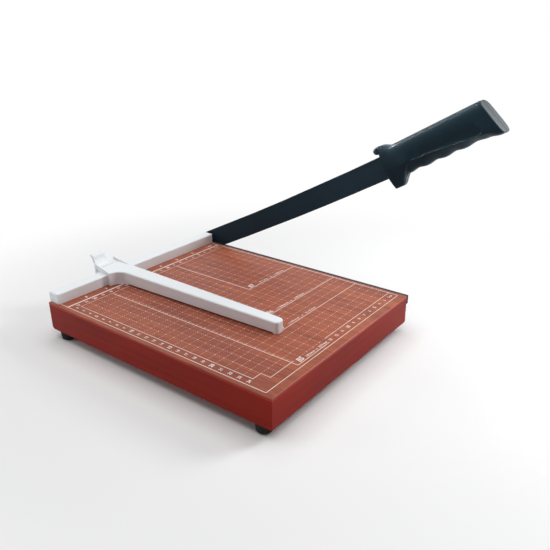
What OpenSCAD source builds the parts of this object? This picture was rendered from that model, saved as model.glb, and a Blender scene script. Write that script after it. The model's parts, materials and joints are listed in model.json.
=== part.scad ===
// Guillotine paper cutter: a printed board on four feet, a fence with a sliding
// paper guide, and a blade on a pivot arm that shears past a fixed blade.
// X runs to the user's right, Y away from the user, Z up, in millimetres.
// The origin lies on the table, under the middle of the outline with the arm raised.

/* [Board] */
// Width of the board, side to side
board_w = 226.5; // [200:0.5:320]
// Depth of the board, front to back
board_d = 284; // [250:1:400]
// Thickness of the board with its top panel
board_t = 30; // [26:1:40]
// Thickness of the printed top panel
panel_t = 3; // [2:0.5:5]
// Eased edge around the underside of the board
board_ease = 0.6; // [0.2:0.1:2]
// Rounding of the lower back edge of the board
board_back_round = 5; // [1:0.5:5]
// Eased edge around the top panel
panel_ease = 0.6; // [0.2:0.1:1.5]

/* [Feet] */
// Diameter of a rubber foot
foot_d = 15.5; // [12:0.5:17]
// Height of a rubber foot
foot_h = 9.5; // [7:0.5:14]
// Rounding of the foot's bottom edge
foot_round = 2.6; // [0.5:0.1:2.8]
// Foot centre from the board's side edge
foot_in_x = 8.5; // [8.5:0.5:30]
// Foot centre from the board's front or back edge
foot_in_y = 14; // [13.5:0.5:40]

/* [Fence] */
// Height of the fence above the board
fence_h = 11; // [9:0.5:16]
// Depth of the fence, front to back
fence_d = 14; // [13:0.5:20]
// Wall of the hollow fence
fence_wall = 2.2; // [1.6:0.1:2.6]
// Fence end inside the board's left edge
fence_in = 2.5; // [0:0.5:10]
// Rounding of the fence's upright corners
fence_round = 3; // [1:0.5:4]
// Easing of the fence's top edges
fence_ease = 1.2; // [0.4:0.1:2]
// Number of fence screws
fence_screw_n = 3; // [2:1:5]

/* [Blades] */
// Height of the fixed blade
fixed_h = 12; // [11:0.5:16]
// Thickness of the fixed blade
fixed_t = 2.8; // [2:0.1:4]
// Clipped lower corner at the front of the fixed blade
fixed_clip = 3; // [1:0.5:5]
// Number of fixed blade screws
fixed_screw_n = 4; // [3:1:6]
// Width of the moving blade
blade_w = 23.3; // [20:0.1:32]
// Thickness of the moving blade
blade_t = 2.5; // [2:0.1:4]
// Height of the ground bevel
bevel_h = 5; // [3:0.5:8]
// Land left at the cutting edge
bevel_land = 0.4; // [0.2:0.1:0.8]
// Raised angle of the arm as stored
arm_angle = 28.3; // [5:0.05:60]
// Pivot in front of the board's back edge
pivot_in = 9.5; // [8:0.5:16]
// Pivot below the board's top
pivot_drop = 8; // [6:0.5:9]
// Cutting edge below the pivot's axis, at the guard
edge_drop = 5.2; // [0:0.1:7]
// Rise of the cutting edge from the guard to the pivot
heel_lift = 2.3; // [0:0.1:4]
// Downward bow of the blade
blade_bow = 2; // [0:0.1:3]
// Radius of the blade's heel around the pivot
heel_r = 9.5; // [8:0.5:11]
// Guard in front of the board with the arm down
guard_clear = 1.4; // [1:0.2:12]

/* [Handle] */
// Length of the handle from the guard's face, at mid height
handle_l = 115.3; // [95:0.1:140]
// Height of the grip
handle_h = 31.5; // [28:0.5:38]
// Width of the handle across both halves
handle_w = 21; // [18:0.5:28]
// Handle axis above the pivot's line at the guard
handle_rise = 7.8; // [5:0.1:12]
// Upward tilt of the handle from the blade
handle_tilt = 2; // [0:0.1:5]
// Slant of the butt's end face
butt_slant = 16; // [0:0.5:25]
// Drop of the butt below the grip
butt_drop = 2.8; // [0:0.2:4]
// Drop of the finger guard below the grip
guard_drop = 9.2; // [4:0.2:12]
// Thumb lip in front of the guard
lip_l = 5.2; // [3:0.1:10]
// Lean of the guard's face back towards the lip
front_lean = 2.6; // [0:0.1:3]
// Height of the thumb lip
lip_h = 7.5; // [6:0.5:10]
// Rise of the thumb lip above the grip
lip_rise = 4.2; // [2:0.1:8]
// Number of finger waves
wave_n = 4; // [3:1:5]
// Depth of a finger wave
wave_depth = 1.4; // [0:0.1:3]
// Depth of the long scallop on each side
scallop_depth = 1.2; // [0:0.1:2]
// Length of the blade's tang in the handle
tang_l = 62; // [50:1:80]
// Width of the tang
tang_w = 14; // [11:0.5:18]

/* [Guide] */
// Guide's straight edge from the cutting edge, as stored
guide_stop = 136.4; // [20:0.1:150]
// Length of the guide in front of the fence
guide_l = 213; // [120:1:230]
// Width of the guide's arm at its root
guide_root_w = 18; // [16:0.5:26]
// Width of the guide's arm at its tip
guide_tip_w = 11.5; // [10:0.5:20]
// Rounding of the guide's tip
guide_tip_r = 4; // [2:0.5:4.5]
// Height of the guide's head above the board
guide_h = 14.6; // [14:0.1:20]
// Height of the guide's tip above the board
guide_tip_h = 12.4; // [9:0.1:14]
// Relief under the guide's arm, between its root and its tip
guide_relief = 1.2; // [0.4:0.1:2]
// Width of the guide's head in front
head_w = 31; // [31:0.5:42]
// Narrowing of the head towards its back
head_taper = 4; // [0:0.5:5]
// Head in front of the fence
head_lap = 5.5; // [4:0.5:10]
// Head behind the fence
head_back = 10.5; // [9:0.5:14]
// Wall of the guide
guide_wall = 2.2; // [1.6:0.1:3]
// Rise of the cheeks at the back of the head
cheek_rise = 3; // [1:0.2:5]
// Thickness of a cheek's rim
cheek_t = 1.8; // [1.2:0.1:2]
// Number of cross ribs under the guide's arm
rib_n = 4; // [2:1:8]

/* [Clamp lever] */
// Width of the lever
lever_w = 16; // [12:0.5:17]
// Lever's right side from the guide's straight edge
lever_in = 8.5; // [8:0.5:10]
// Thickness of the lever's plate
lever_t = 2.4; // [1.6:0.1:2.8]
// Radius of the curve between the lever's root and plate
lever_curve = 7; // [5:0.5:10]
// Lean of the lever's plate from the level
lever_lean = 70; // [55:1:80]
// Length of the lever's straight plate
lever_plate = 4; // [2:0.5:10]
// Length of the lever's curled tip
lever_tip = 3.5; // [2:0.5:6]
// Rounding of the lever's tip corners
lever_round = 1.5; // [1:0.5:6]
// Swing of the lever from free to clamped
lever_swing = 50; // [40:1:55]
// Diameter of the lever's pin
pin_d = 2.5; // [2:0.1:3]
// Pin's axis behind the fence
pin_back = 5.8; // [5.4:0.1:6.4]
// Pin's axis above the board
pin_up = 10.4; // [9.5:0.1:10.8]
// Radius of the lever's barrel
barrel_r = 3.3; // [2.8:0.1:3.8]
// Radius of the clamping lobe
lobe_r = 2.6; // [2.4:0.1:2.8]

/* [Fasteners] */
// Diameter of the pivot bolt
bolt_d = 6; // [5:0.5:8]
// Diameter of the pivot bolt's head
bolt_head_d = 12; // [11:0.5:15]
// Thickness of the pivot bolt's head
bolt_head_h = 4; // [3:0.5:6]
// Wall of the pivot bush
bush_wall = 1.5; // [1:0.1:2]
// Diameter of the pivot washer
washer_d = 15; // [13:0.5:18]
// Thickness of the pivot washer
washer_t = 1.2; // [0.8:0.1:2]
// Height of the disc spring
spring_h = 1.6; // [1.2:0.1:2.4]
// Thickness of the disc spring's metal
spring_t = 0.8; // [0.5:0.1:1]
// Height of the lock nut
nut_h = 5; // [4:0.5:7]
// Width of the lock nut across its flats
nut_af = 10; // [9:0.5:14]
// Diameter of the wood screws
screw_d = 3.5; // [3:0.1:4]
// Diameter of the wood screws' heads
screw_head_d = 6.6; // [6:0.1:7]
// Height of a round screw head
screw_head_h = 2.2; // [1.8:0.1:2.6]
// Length of a screw in the wood
screw_bite = 15; // [10:1:18]
// Depth of the fence screws' counterbores
fence_sink = 8; // [5:0.5:12]
// Diameter of the handle screws
handle_screw_d = 3; // [2.5:0.1:3.5]

/* [Fits] */
// Gap at sliding and swinging faces
slide_gap = 0.3; // [0.2:0.05:0.5]
// Gap between the two blades
shear_gap = 0.2; // [0.1:0.05:0.3]
// Radial gap of a turning fit
run_fit = 0.05; // [0.02:0.01:0.08]
// Radial gap round a fastener
hole_fit = 0.1; // [0.05:0.05:0.2]

/* [Hidden] */
$fn = 64;
over = 1;

// Heights and edges of the board
top_z = foot_h + board_t;
panel_z = top_z - panel_t;
side_x = board_w / 2;
edge_y = board_d / 2;
foot_x = side_x - foot_in_x;
foot_y = edge_y - foot_in_y;
// Fine chamfer on both sides of the seam between board and panel
seam_ease = 0.2;

// Fence
fence_x0 = fence_in - side_x;
fence_x1 = side_x;
fence_y1 = edge_y;
fence_y0 = edge_y - fence_d;
fence_top = top_z + fence_h;
fence_mid_y = edge_y - fence_d / 2;
fence_screw_in = 25;
fence_pitch = (fence_x1 - fence_x0 - 2 * fence_screw_in) / (fence_screw_n - 1);
fence_screw_x = [for (i = [0 : fence_screw_n - 1]) fence_x0 + fence_screw_in + i * fence_pitch];
boss_wall = 1.8;

// Blades, from the board's side outwards
pivot_y = edge_y - pivot_in;
pivot_z = top_z - pivot_drop;
fixed_x1 = side_x + fixed_t;
blade_x0 = fixed_x1 + shear_gap;
blade_x1 = blade_x0 + blade_t;
blade_mid = (blade_x0 + blade_x1) / 2;
edge_n = -edge_drop;
lug_r = 4;
lug_half = 10;
lug_drop = 10;
fixed_screw_in = 20;
fixed_screw_z = top_z - fixed_h / 2;
fixed_run = pivot_y - lug_half - 2 * fixed_screw_in + edge_y;
fixed_pitch = fixed_run / (fixed_screw_n - 1);
fixed_screw_y = [for (i = [0 : fixed_screw_n - 1]) fixed_screw_in - edge_y + i * fixed_pitch];
bush_r = bolt_d / 2 + run_fit + bush_wall;
washer_x = blade_x1 + run_fit;
spring_x = washer_x + washer_t;
nut_x = spring_x + spring_h;
bolt_proud = 1.2;
bolt_end = nut_x + nut_h + bolt_proud;
bolt_room = 0.5;

// Handle, along the arm from the pivot
guard_at = pivot_y + edge_y + guard_clear;
grip_top = handle_h / 2;
grip_low = -handle_h / 2;
tang_step = 4;
tang_at = guard_at + tang_step;
tang_end = guard_at + tang_l;
tang_n = handle_rise - tang_w / 2;
screw_first = 18;
screw_tang_in = 14;
screw_butt_in = 21.3;
screw_stations = [screw_first, tang_l - screw_tang_in, handle_l - screw_butt_in];
handle_screw_head_r = handle_screw_d;
handle_screw_head_h = 2;
handle_screw_in = 3;
handle_screw_reach = handle_w / 2 - handle_screw_in;

// Guide and lever
guide_x = fixed_x1 - guide_stop;
head_end = fence_d + head_back;
pin_y = fence_y1 + pin_back;
pin_z = top_z + pin_up;
lever_x1 = guide_x - lever_in;
lever_x0 = lever_x1 - lever_w;
lobe_at = pin_back - lobe_r - hole_fit;
lever_top = guide_h - pin_up - hole_fit;
lever_root = 1;
lever_tip_room = 2;
pin_x0 = guide_x - head_w + head_taper + hole_fit;
pin_x1 = guide_x - lever_in / 3;

// Middle of the outline, which is moved to the origin
butt_s = handle_l + tan(butt_slant) * handle_h / 2;
butt_d = guard_at + butt_s * cos(handle_tilt) - grip_low * sin(handle_tilt);
butt_n = handle_rise + butt_s * sin(handle_tilt) + grip_low * cos(handle_tilt);
front_y = pivot_y - butt_d * cos(arm_angle) + butt_n * sin(arm_angle);
lever_bow = lever_curve * sin(lever_lean) + lever_plate * cos(lever_lean);
lever_reach = lever_root + lever_bow + lever_tip + lever_tip_room;
rear_y = pin_y + lever_reach;
right_x = max(bolt_end, blade_mid + handle_w / 2);
frame_x = (side_x - right_x) / 2;
frame_y = -(front_y + rear_y) / 2;

// Points of an arc about c, from angle a0 to a1
function arc(c, r, a0, a1, n = 8) =
    [for (i = [0 : n]) let(a = a0 + (a1 - a0) * i / n) c + r * [cos(a), sin(a)]];
// Value held between 0 and 1, and a smooth step between them
function clamp(x) = min(1, max(0, x));
function ease(x) = let(c = clamp(x)) c * c * (3 - 2 * c);
// Blend from a to b
function mix(a, b, k) = a + (b - a) * k;

module placed() {
    translate([frame_x, frame_y, 0]) children();
}

// An outline in Y and Z, drawn out along X
module along_x(x0, x1) {
    translate([x0, 0, 0]) rotate([90, 0, 90]) linear_extrude(x1 - x0) children();
}

// An outline in X and Z, drawn out along Y
module along_y(y0, y1) {
    translate([0, y1, 0]) rotate([90, 0, 0]) linear_extrude(y1 - y0) children();
}

// A round bar along X
module rod_x(x0, x1, r, y, z) {
    translate([x0, y, z]) rotate([0, 90, 0]) cylinder(h = x1 - x0, r = r);
}

// The arm's own frame: -Y along the blade from the pivot, Z towards its back
module on_arm() {
    translate([0, pivot_y, pivot_z]) rotate([-arm_angle, 0, 0]) children();
}

// The handle's own frame: -Y along the grip from the guard's face
module on_handle() {
    translate([blade_mid, -guard_at, handle_rise]) rotate([-handle_tilt, 0, 0]) children();
}

// Outline of a slab of width w seen from one side, eased below and above
module slab_outline(w, z0, z1, low, high) {
    polygon([
        [low - w / 2, z0], [w / 2 - low, z0], [w / 2, z0 + low], [w / 2, z1 - high],
        [w / 2 - high, z1], [high - w / 2, z1], [-w / 2, z1 - high], [-w / 2, z0 + low]
    ]);
}

module slab(z0, z1, low, high) {
    intersection() {
        along_x(-side_x, side_x) slab_outline(board_d, z0, z1, low, high);
        along_y(-edge_y, edge_y) slab_outline(board_w, z0, z1, low, high);
    }
}

// What the rounded lower back edge takes off the board
module back_edge_waste() {
    r = board_back_round;
    along_x(-side_x - over, side_x + over) polygon(concat(
        [[edge_y + over, foot_h - over], [edge_y + over, foot_h + r]],
        arc([edge_y - r, foot_h + r], r, 0, -90),
        [[edge_y - r, foot_h - over]]
    ));
}

// Pocket for the head of the pivot bolt
module bolt_pocket() {
    depth = bolt_head_h + bolt_room;
    rod_x(side_x - depth, side_x + over, bolt_head_d / 2 + hole_fit, pivot_y, pivot_z);
}

module fence_screw_holes(r) {
    for (x = fence_screw_x)
        translate([x, fence_mid_y, foot_h - over]) cylinder(h = top_z - foot_h + 2 * over, r = r);
}

module base_board() {
    sink_r = screw_head_d / 2 + 4 * hole_fit;
    color("#6e2620") placed() difference() {
        slab(foot_h, panel_z, board_ease, seam_ease);
        back_edge_waste();
        fence_screw_holes(screw_d / 2 + hole_fit);
        for (x = fence_screw_x)
            translate([x, fence_mid_y, foot_h - over]) cylinder(h = fence_sink + over, r = sink_r);
        for (x = [-foot_x, foot_x], y = [-foot_y, foot_y])
            translate([x, y, foot_h - over]) cylinder(h = screw_bite + 2 * over, r = screw_d / 2 + run_fit);
        for (y = fixed_screw_y)
            rod_x(side_x - screw_bite - over, side_x + over, screw_d / 2 + run_fit, y, fixed_screw_z);
        bolt_pocket();
    }
}

module top_panel() {
    color("#b5603c") placed() difference() {
        slab(panel_z, top_z, seam_ease, panel_ease);
        fence_screw_holes(screw_d / 2 + hole_fit);
        bolt_pocket();
    }
}

module fence_outline() {
    polygon(concat(
        [[fence_y0, top_z], [fence_y1, top_z]],
        arc([fence_y1 - fence_ease, fence_top - fence_ease], fence_ease, 0, 90),
        arc([fence_y0 + fence_ease, fence_top - fence_ease], fence_ease, 90, 180)
    ));
}

module fence_plan() {
    r = fence_round;
    polygon(concat(
        arc([fence_x1 - r, fence_y0 + r], r, -90, 0),
        [[fence_x1, fence_y1], [fence_x0, fence_y1]],
        arc([fence_x0 + r / 2, fence_y0 + r / 2], r / 2, 180, 270)
    ));
}

module fence_cavity() {
    w = fence_wall;
    size = [fence_x1 - fence_x0 - 2 * w, fence_d - 2 * w, fence_h - w + over];
    rib = 1.6;
    boss_r = screw_d / 2 + boss_wall;
    difference() {
        translate([fence_x0 + w, fence_y0 + w, top_z - over]) cube(size);
        for (x = fence_screw_x) {
            translate([x, fence_mid_y, top_z - over]) cylinder(h = fence_h + over, r = boss_r);
            translate([x - rib / 2, fence_y0, top_z - over]) cube([rib, fence_d, fence_h + over]);
        }
    }
}

module fence_rail() {
    groove = 0.6;
    hole_h = fence_h - fence_wall + over;
    color("#eef2f4") placed() difference() {
        intersection() {
            along_x(fence_x0, fence_x1) fence_outline();
            translate([0, 0, top_z - over]) linear_extrude(fence_h + 2 * over) fence_plan();
        }
        fence_cavity();
        for (x = fence_screw_x)
            translate([x, fence_mid_y, top_z - over]) cylinder(h = hole_h, r = screw_d / 2 + run_fit);
        for (k = [1, 2])
            translate([fence_x0 - over, fence_y0 - over, top_z + k * fence_h / 3])
                cube([over + groove / 2, fence_d + 2 * over, groove]);
    }
}

// A round-headed screw standing on its head's underside, pointing up
module round_screw(l) {
    translate([0, 0, -screw_head_h]) cylinder(h = screw_head_h, r = screw_head_d / 2);
    cylinder(h = l, r = screw_d / 2);
}

module fence_screws() {
    reach = top_z - foot_h - fence_sink + fence_h - fence_wall - over;
    color("silver") placed()
        for (x = fence_screw_x)
            translate([x, fence_mid_y, foot_h + fence_sink]) round_screw(reach);
}

module fixed_outline() {
    low = top_z - fixed_h;
    lug = pivot_z - lug_drop;
    lug_y = pivot_y - lug_half;
    polygon(concat(
        [[-edge_y, top_z], [-edge_y, low + fixed_clip], [fixed_clip - edge_y, low], [lug_y, low]],
        arc([lug_y + lug_r, lug + lug_r], lug_r, 180, 270),
        arc([edge_y - lug_r, lug + lug_r], lug_r, -90, 0),
        [[edge_y, top_z]]
    ));
}

module fixed_blade() {
    sink = screw_head_d / 2 - screw_d / 2;
    mouth_r = screw_head_d / 2 + over + hole_fit;
    color("#23282d") placed() difference() {
        along_x(side_x, fixed_x1) fixed_outline();
        rod_x(side_x - over, fixed_x1 + over, bolt_d / 2 + hole_fit, pivot_y, pivot_z);
        for (y = fixed_screw_y) {
            rod_x(side_x - over, fixed_x1 + over, screw_d / 2 + hole_fit, y, fixed_screw_z);
            translate([fixed_x1 + over, y, fixed_screw_z]) rotate([0, -90, 0])
                cylinder(h = sink + over + hole_fit, r1 = mouth_r, r2 = screw_d / 2);
        }
    }
}

module fixed_blade_screws() {
    sink = screw_head_d / 2 - screw_d / 2;
    flush = fixed_x1 - hole_fit;
    color("silver") placed()
        for (y = fixed_screw_y)
            translate([flush, y, fixed_screw_z]) rotate([0, -90, 0]) {
                cylinder(h = sink, r1 = screw_head_d / 2, r2 = screw_d / 2);
                cylinder(h = screw_bite + fixed_t - over, r = screw_d / 2);
            }
}

// Inside the foot, from its sole upwards: screw head, washer, then rubber
foot_cup_gap = 0.5;
foot_cup_r = screw_head_d / 2 + foot_cup_gap;
foot_taper = 0.4;
foot_washer_t = 1;
foot_web = 2.4;

module foot(sx, sy) {
    r = foot_d / 2;
    hole = screw_d / 2 + hole_fit;
    color("#17181a") placed() translate([sx * foot_x, sy * foot_y, 0]) rotate_extrude()
        polygon(concat(
            [[foot_cup_r, 0]],
            arc([r - foot_round - foot_taper, foot_round], foot_round, -90, 0),
            [[r, foot_h], [hole, foot_h], [hole, foot_h - foot_web], [foot_cup_r, foot_h - foot_web]]
        ));
}

module foot_front_left() { foot(-1, -1); }
module foot_front_right() { foot(1, -1); }
module foot_rear_left() { foot(-1, 1); }
module foot_rear_right() { foot(1, 1); }

module at_feet(z) {
    for (x = [-foot_x, foot_x], y = [-foot_y, foot_y])
        translate([x, y, z]) children();
}

module foot_washers() {
    color("silver") placed() at_feet(foot_h - foot_web - foot_washer_t) difference() {
        cylinder(h = foot_washer_t, r = foot_cup_r - hole_fit);
        translate([0, 0, -over]) cylinder(h = foot_washer_t + 2 * over, r = screw_d / 2 + hole_fit);
    }
}

module foot_screws() {
    color("silver") placed() at_feet(foot_h - foot_web - foot_washer_t)
        round_screw(foot_web + foot_washer_t + screw_bite);
}

module pivot_bolt() {
    color("#9aa0a4") placed() {
        rod_x(side_x - bolt_head_h, side_x, bolt_head_d / 2, pivot_y, pivot_z);
        rod_x(side_x - over, bolt_end, bolt_d / 2, pivot_y, pivot_z);
    }
}

module pivot_bush() {
    color("#b08d4f") placed() difference() {
        rod_x(fixed_x1, washer_x, bush_r, pivot_y, pivot_z);
        rod_x(fixed_x1 - over, washer_x + over, bolt_d / 2 + run_fit, pivot_y, pivot_z);
    }
}

module pivot_washer() {
    color("#9aa0a4") placed() difference() {
        rod_x(washer_x, spring_x, washer_d / 2, pivot_y, pivot_z);
        rod_x(washer_x - over, spring_x + over, bolt_d / 2 + hole_fit, pivot_y, pivot_z);
    }
}

module disc_spring() {
    inner = bolt_d / 2 + hole_fit;
    edge = 1;
    outer = washer_d / 2 - edge;
    color("#7d8387") placed() translate([spring_x, pivot_y, pivot_z]) rotate([0, 90, 0]) rotate_extrude()
        polygon([[outer, 0], [outer, spring_t], [inner, spring_h], [inner, spring_h - spring_t]]);
}

module lock_nut() {
    collar = 0.4;
    color("#9aa0a4") placed() difference() {
        translate([nut_x, pivot_y, pivot_z]) rotate([0, 90, 0]) union() {
            cylinder(h = nut_h - over, r = nut_af / sqrt(3), $fn = 6);
            cylinder(h = nut_h, r = nut_af / 2 - collar);
        }
        rod_x(nut_x - over, nut_x + nut_h + over, bolt_d / 2 + run_fit, pivot_y, pivot_z);
    }
}

// Cutting edge of the bowed blade at distance s from the pivot
heel_run = 8;
bevel_from = 12;
bevel_in = 2;
bow_steps = 6;
function edge_at(s) = let(u = s / guard_at) edge_n + heel_lift * (1 - u) - 4 * blade_bow * u * (1 - u);
ground_s = [for (i = [0 : bow_steps]) mix(heel_r + bevel_from, guard_at - bevel_in, i / bow_steps)];

// Outline of the blade: rounded corner, heel round the pivot, bowed edge, tang, bowed back
module blade_outline() {
    crown = 4;
    corner = crown - heel_r;
    edge_s = concat([heel_r + heel_run], ground_s, [tang_at]);
    back_s = [for (i = [0 : bow_steps - 1]) mix(tang_at, corner, i / bow_steps)];
    scale([-1, 1]) polygon(concat(
        arc([corner, edge_at(corner) + blade_w - crown], crown, 90, 180),
        arc([0, 0], heel_r, 180, 285, 14),
        [for (s = edge_s) [s, edge_at(s)]],
        [[tang_at, tang_n], [tang_end, tang_n], [tang_end, tang_n + tang_w], [tang_at, tang_n + tang_w]],
        [for (s = back_s) [s, edge_at(s) + blade_w]]
    ));
}

// Wedge ground off along the bowed edge, in short straight runs
module bevel_waste() {
    keen_x = blade_x0 + bevel_land;
    out_x = blade_x1 + over;
    for (i = [1 : bow_steps]) {
        run = ground_s[i] - ground_s[i - 1];
        fall = edge_at(ground_s[i - 1]) - edge_at(ground_s[i]);
        translate([0, -ground_s[i - 1], edge_at(ground_s[i - 1])]) rotate([atan(fall / run), 0, 0])
            along_y(-norm([run, fall]), 0) polygon([
                [keen_x, -over], [keen_x, 0], [blade_x1, bevel_h], [out_x, bevel_h], [out_x, -over]
            ]);
    }
}

module moving_blade() {
    color("#1d242b") placed() on_arm() difference() {
        along_x(blade_x0, blade_x1) blade_outline();
        rod_x(blade_x0 - over, blade_x1 + over, bush_r + run_fit, 0, 0);
        bevel_waste();
        on_handle() for (s = [screw_stations[0], screw_stations[1]])
            rod_x(-blade_t, blade_t, handle_screw_d / 2 + hole_fit, -s, 0);
    }
}

// The handle's side view at distance s from the guard's face: top line, low line, half width
guard_slope = 1.6;
guard_run = 10;
guard_share = 0.9;
grip_from = 22;
grip_to = handle_l - 14;
lip_mid = grip_top + lip_rise - lip_h / 2;
lip_blunt = 0.35;
lip_fade = 16;
lip_share = 0.72;
lip_point = 0.3;
widen_run = 20;
butt_run = 10;
function nose(s) =
    let(k = max(0, lip_h / 2 - lip_l - s) / (lip_h / 2)) sqrt(max(lip_blunt * lip_blunt, 1 - k * k));
function wave(s) = wave_depth / 2 * (cos(360 * wave_n * (s - grip_from) / (grip_to - grip_from)) - 1);
function top_line(s) = s < 0
    ? lip_mid + lip_h / 2 * nose(s)
    : grip_top + lip_rise * ease((lip_fade - s) / lip_fade);
function low_line(s) =
    let(tip = grip_low - guard_drop)
    s < 0 ? lip_mid - lip_h / 2 * nose(s)
    : s < guard_slope ? mix(edge_n - handle_rise, tip, s / guard_slope)
    : s < grip_from ? mix(tip, grip_low, ease((s - guard_run) / (grip_from - guard_run)))
    : s < grip_to ? grip_low - wave(s) - wave_depth / 2
    : grip_low - butt_drop * ease((s - grip_to) / butt_run);
function half_width(s) = s < 0
    ? handle_w / 2 * lip_share * mix(lip_point, 1, nose(s))
    : handle_w / 2 * mix(guard_share, 1, ease((s - guard_run) / widen_run));

// Depth taken off the side by the long scallop above the ridge
scallop_from = 25;
scallop_top = -0.6;
scallop_fall = 0.012;
ridge_top = -2.3;
ridge_fall = 0.096;
scallop_soft = 2;
scallop_blend = 5;
function scallop(s, t) =
    let(
        long = ease((s - scallop_from) / scallop_blend) * ease((grip_to - s) / scallop_blend),
        above = ease((scallop_top - scallop_fall * s - t) / scallop_soft),
        ridge = ease((t - ridge_at(s)) / scallop_soft)
    )
    scallop_depth * long * above * ridge;
function ridge_at(s) = ridge_top - ridge_fall * s;

// Share of the width lost below the ridge, down to the low line
flank_share = 0.45;
function flank(s, t, lo) = s < 0 ? 0
    : flank_share * clamp((ridge_at(s) - t) / (ridge_at(s) - lo)) * ease((grip_to + butt_run - s) / butt_run);

// Shift of the guard's face towards the butt, growing from the grip's low line to the lip's top
front_run = 16;
function front(s, t) = front_lean * clamp((t - grip_low) / (handle_h + lip_rise))
    * (s < 0 ? 1 + s / lip_l : ease((front_run - s) / front_run));

// Stations along the handle: lip, guard and grip, then the eased butt
butt_ease = 1.6;
butt_steps = 3;
lip_steps = 4;
grip_steps = 40;
guard_face = 0.3;
lip_end = 0.05;
slant_run = 40;
stations = concat(
    [for (i = [0 : lip_steps]) -mix(lip_end, lip_l, cos(90 * i / lip_steps))],
    [for (i = [0 : grip_steps]) mix(guard_face, handle_l - butt_ease, i / grip_steps)],
    [for (i = [1 : butt_steps]) handle_l - butt_ease * (1 - sin(90 * i / butt_steps))]
);
function inset(s) =
    let(k = max(0, (s - handle_l + butt_ease) / butt_ease)) butt_ease * (1 - sqrt(1 - k * k));

// One half section, from the low line over the side to the top line
section_n = 16;
section_power = 3.8;
function section(s, i) =
    let(
        a = 180 * i / section_n - 90,
        hi = top_line(s) - inset(s),
        lo = low_line(s) + inset(s),
        t = (hi + lo) / 2 + (hi - lo) / 2 * sign(sin(a)) * pow(abs(sin(a)), 2 / section_power),
        wide = (half_width(s) - inset(s)) * (1 - flank(s, t, low_line(s))),
        side = wide * pow(max(0, cos(a)), 2 / section_power),
        lean = tan(butt_slant) * ease((s - handle_l + slant_run) / slant_run)
    )
    [max(0, side - (i == 0 || i == section_n ? 0 : scallop(s, t))), lean * t - s - front(s, t), t];

// Closed solid through rings of points
module skin(rings) {
    n = len(rings[0]);
    last = len(rings) - 1;
    quads = [for (r = [0 : last - 1], i = [0 : n - 1]) let(j = (i + 1) % n)
        [r * n + i, r * n + n + i, r * n + j, r * n + n + j]];
    polyhedron([for (ring = rings, p = ring) p], concat(
        [for (q = quads) [q[0], q[1], q[2]]],
        [for (q = quads) [q[2], q[1], q[3]]],
        [[for (i = [0 : n - 1]) i]],
        [[for (i = [n - 1 : -1 : 0]) last * n + i]]
    ));
}

// Solid half of the handle on the +X side of the middle plane
module handle_shell() {
    skin([for (s = stations) [for (i = [0 : section_n]) section(s, i)]]);
}

// Room for the blade and its tang in the handle
module tang_pocket() {
    h = blade_t + 2 * hole_fit;
    translate([blade_mid - h / 2, -tang_at - hole_fit, edge_n - hole_fit])
        cube([h, tang_at + hole_fit - guard_at + lip_l, blade_w + 2 * hole_fit]);
    translate([blade_mid - h / 2, -tang_end - hole_fit, tang_n - hole_fit])
        cube([h, tang_l, tang_w + 2 * hole_fit]);
}

module handle_inner_half() {
    color("#20272e") placed() on_arm() difference() {
        on_handle() mirror([1, 0, 0]) handle_shell();
        tang_pocket();
        on_handle() for (s = screw_stations)
            rod_x(-handle_screw_reach - over, over, handle_screw_d / 2 + run_fit, -s, 0);
    }
}

module handle_outer_half() {
    head = handle_screw_reach - handle_screw_head_h;
    color("#20272e") placed() on_arm() difference() {
        on_handle() handle_shell();
        tang_pocket();
        on_handle() for (s = screw_stations) {
            rod_x(-over, handle_w, handle_screw_d / 2 + run_fit, -s, 0);
            rod_x(head, handle_w, handle_screw_head_r + hole_fit, -s, 0);
        }
    }
}

module handle_screws() {
    head = handle_screw_reach - handle_screw_head_h;
    color("#9aa0a4") placed() on_arm() on_handle()
        for (s = screw_stations) {
            rod_x(head, handle_screw_reach, handle_screw_head_r, -s, 0);
            rod_x(-handle_screw_reach, handle_screw_reach - over, handle_screw_d / 2, -s, 0);
        }
}

// The guide's own frame: p to the left of its straight edge, q in front of the fence
function guide_pt(p, q) = [guide_x - p, fence_y0 - q];
guide_fillet = head_w - guide_root_w;
root_q = head_lap + guide_fillet;
function left_edge(q) = mix(guide_root_w, guide_tip_w, (q - root_q) / (guide_l - root_q));
function backwards(v) = [for (i = [len(v) - 1 : -1 : 0]) v[i]];

module guide_plan() {
    r = guide_tip_r;
    tip_p = left_edge(guide_l);
    sweep = arc([head_w, root_q], guide_fillet, 180, 270);
    corner = arc([tip_p - r, guide_l - r], r, 0, 90);
    stop = arc([r, guide_l - r], r, 90, 180);
    polygon([for (v = concat(
        [[0, -head_end]], backwards(stop), backwards(corner), sweep, [[head_w - head_taper, -head_end]]
    )) guide_pt(v[0], v[1])]);
}

// Side view of the guide: arm on the board, roof over the fence, block behind it
module guide_side() {
    g = slide_gap;
    block_h = 6;
    behind = fence_h - block_h;
    lift = g + guide_relief;
    tip_q = guide_l - guide_tip_r;
    polygon([for (v = [
        [guide_l, g], [guide_l, guide_tip_h], [head_lap, guide_h], [-head_end, guide_h],
        [-head_end, behind], [-fence_d - g, behind], [-fence_d - g, fence_h + g], [g, fence_h + g], [g, g],
        [root_q, g], [root_q + guide_relief, lift], [tip_q - guide_relief, lift], [tip_q, g]
    ]) [fence_y0 - v[0], top_z + v[1]]]);
}

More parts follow.
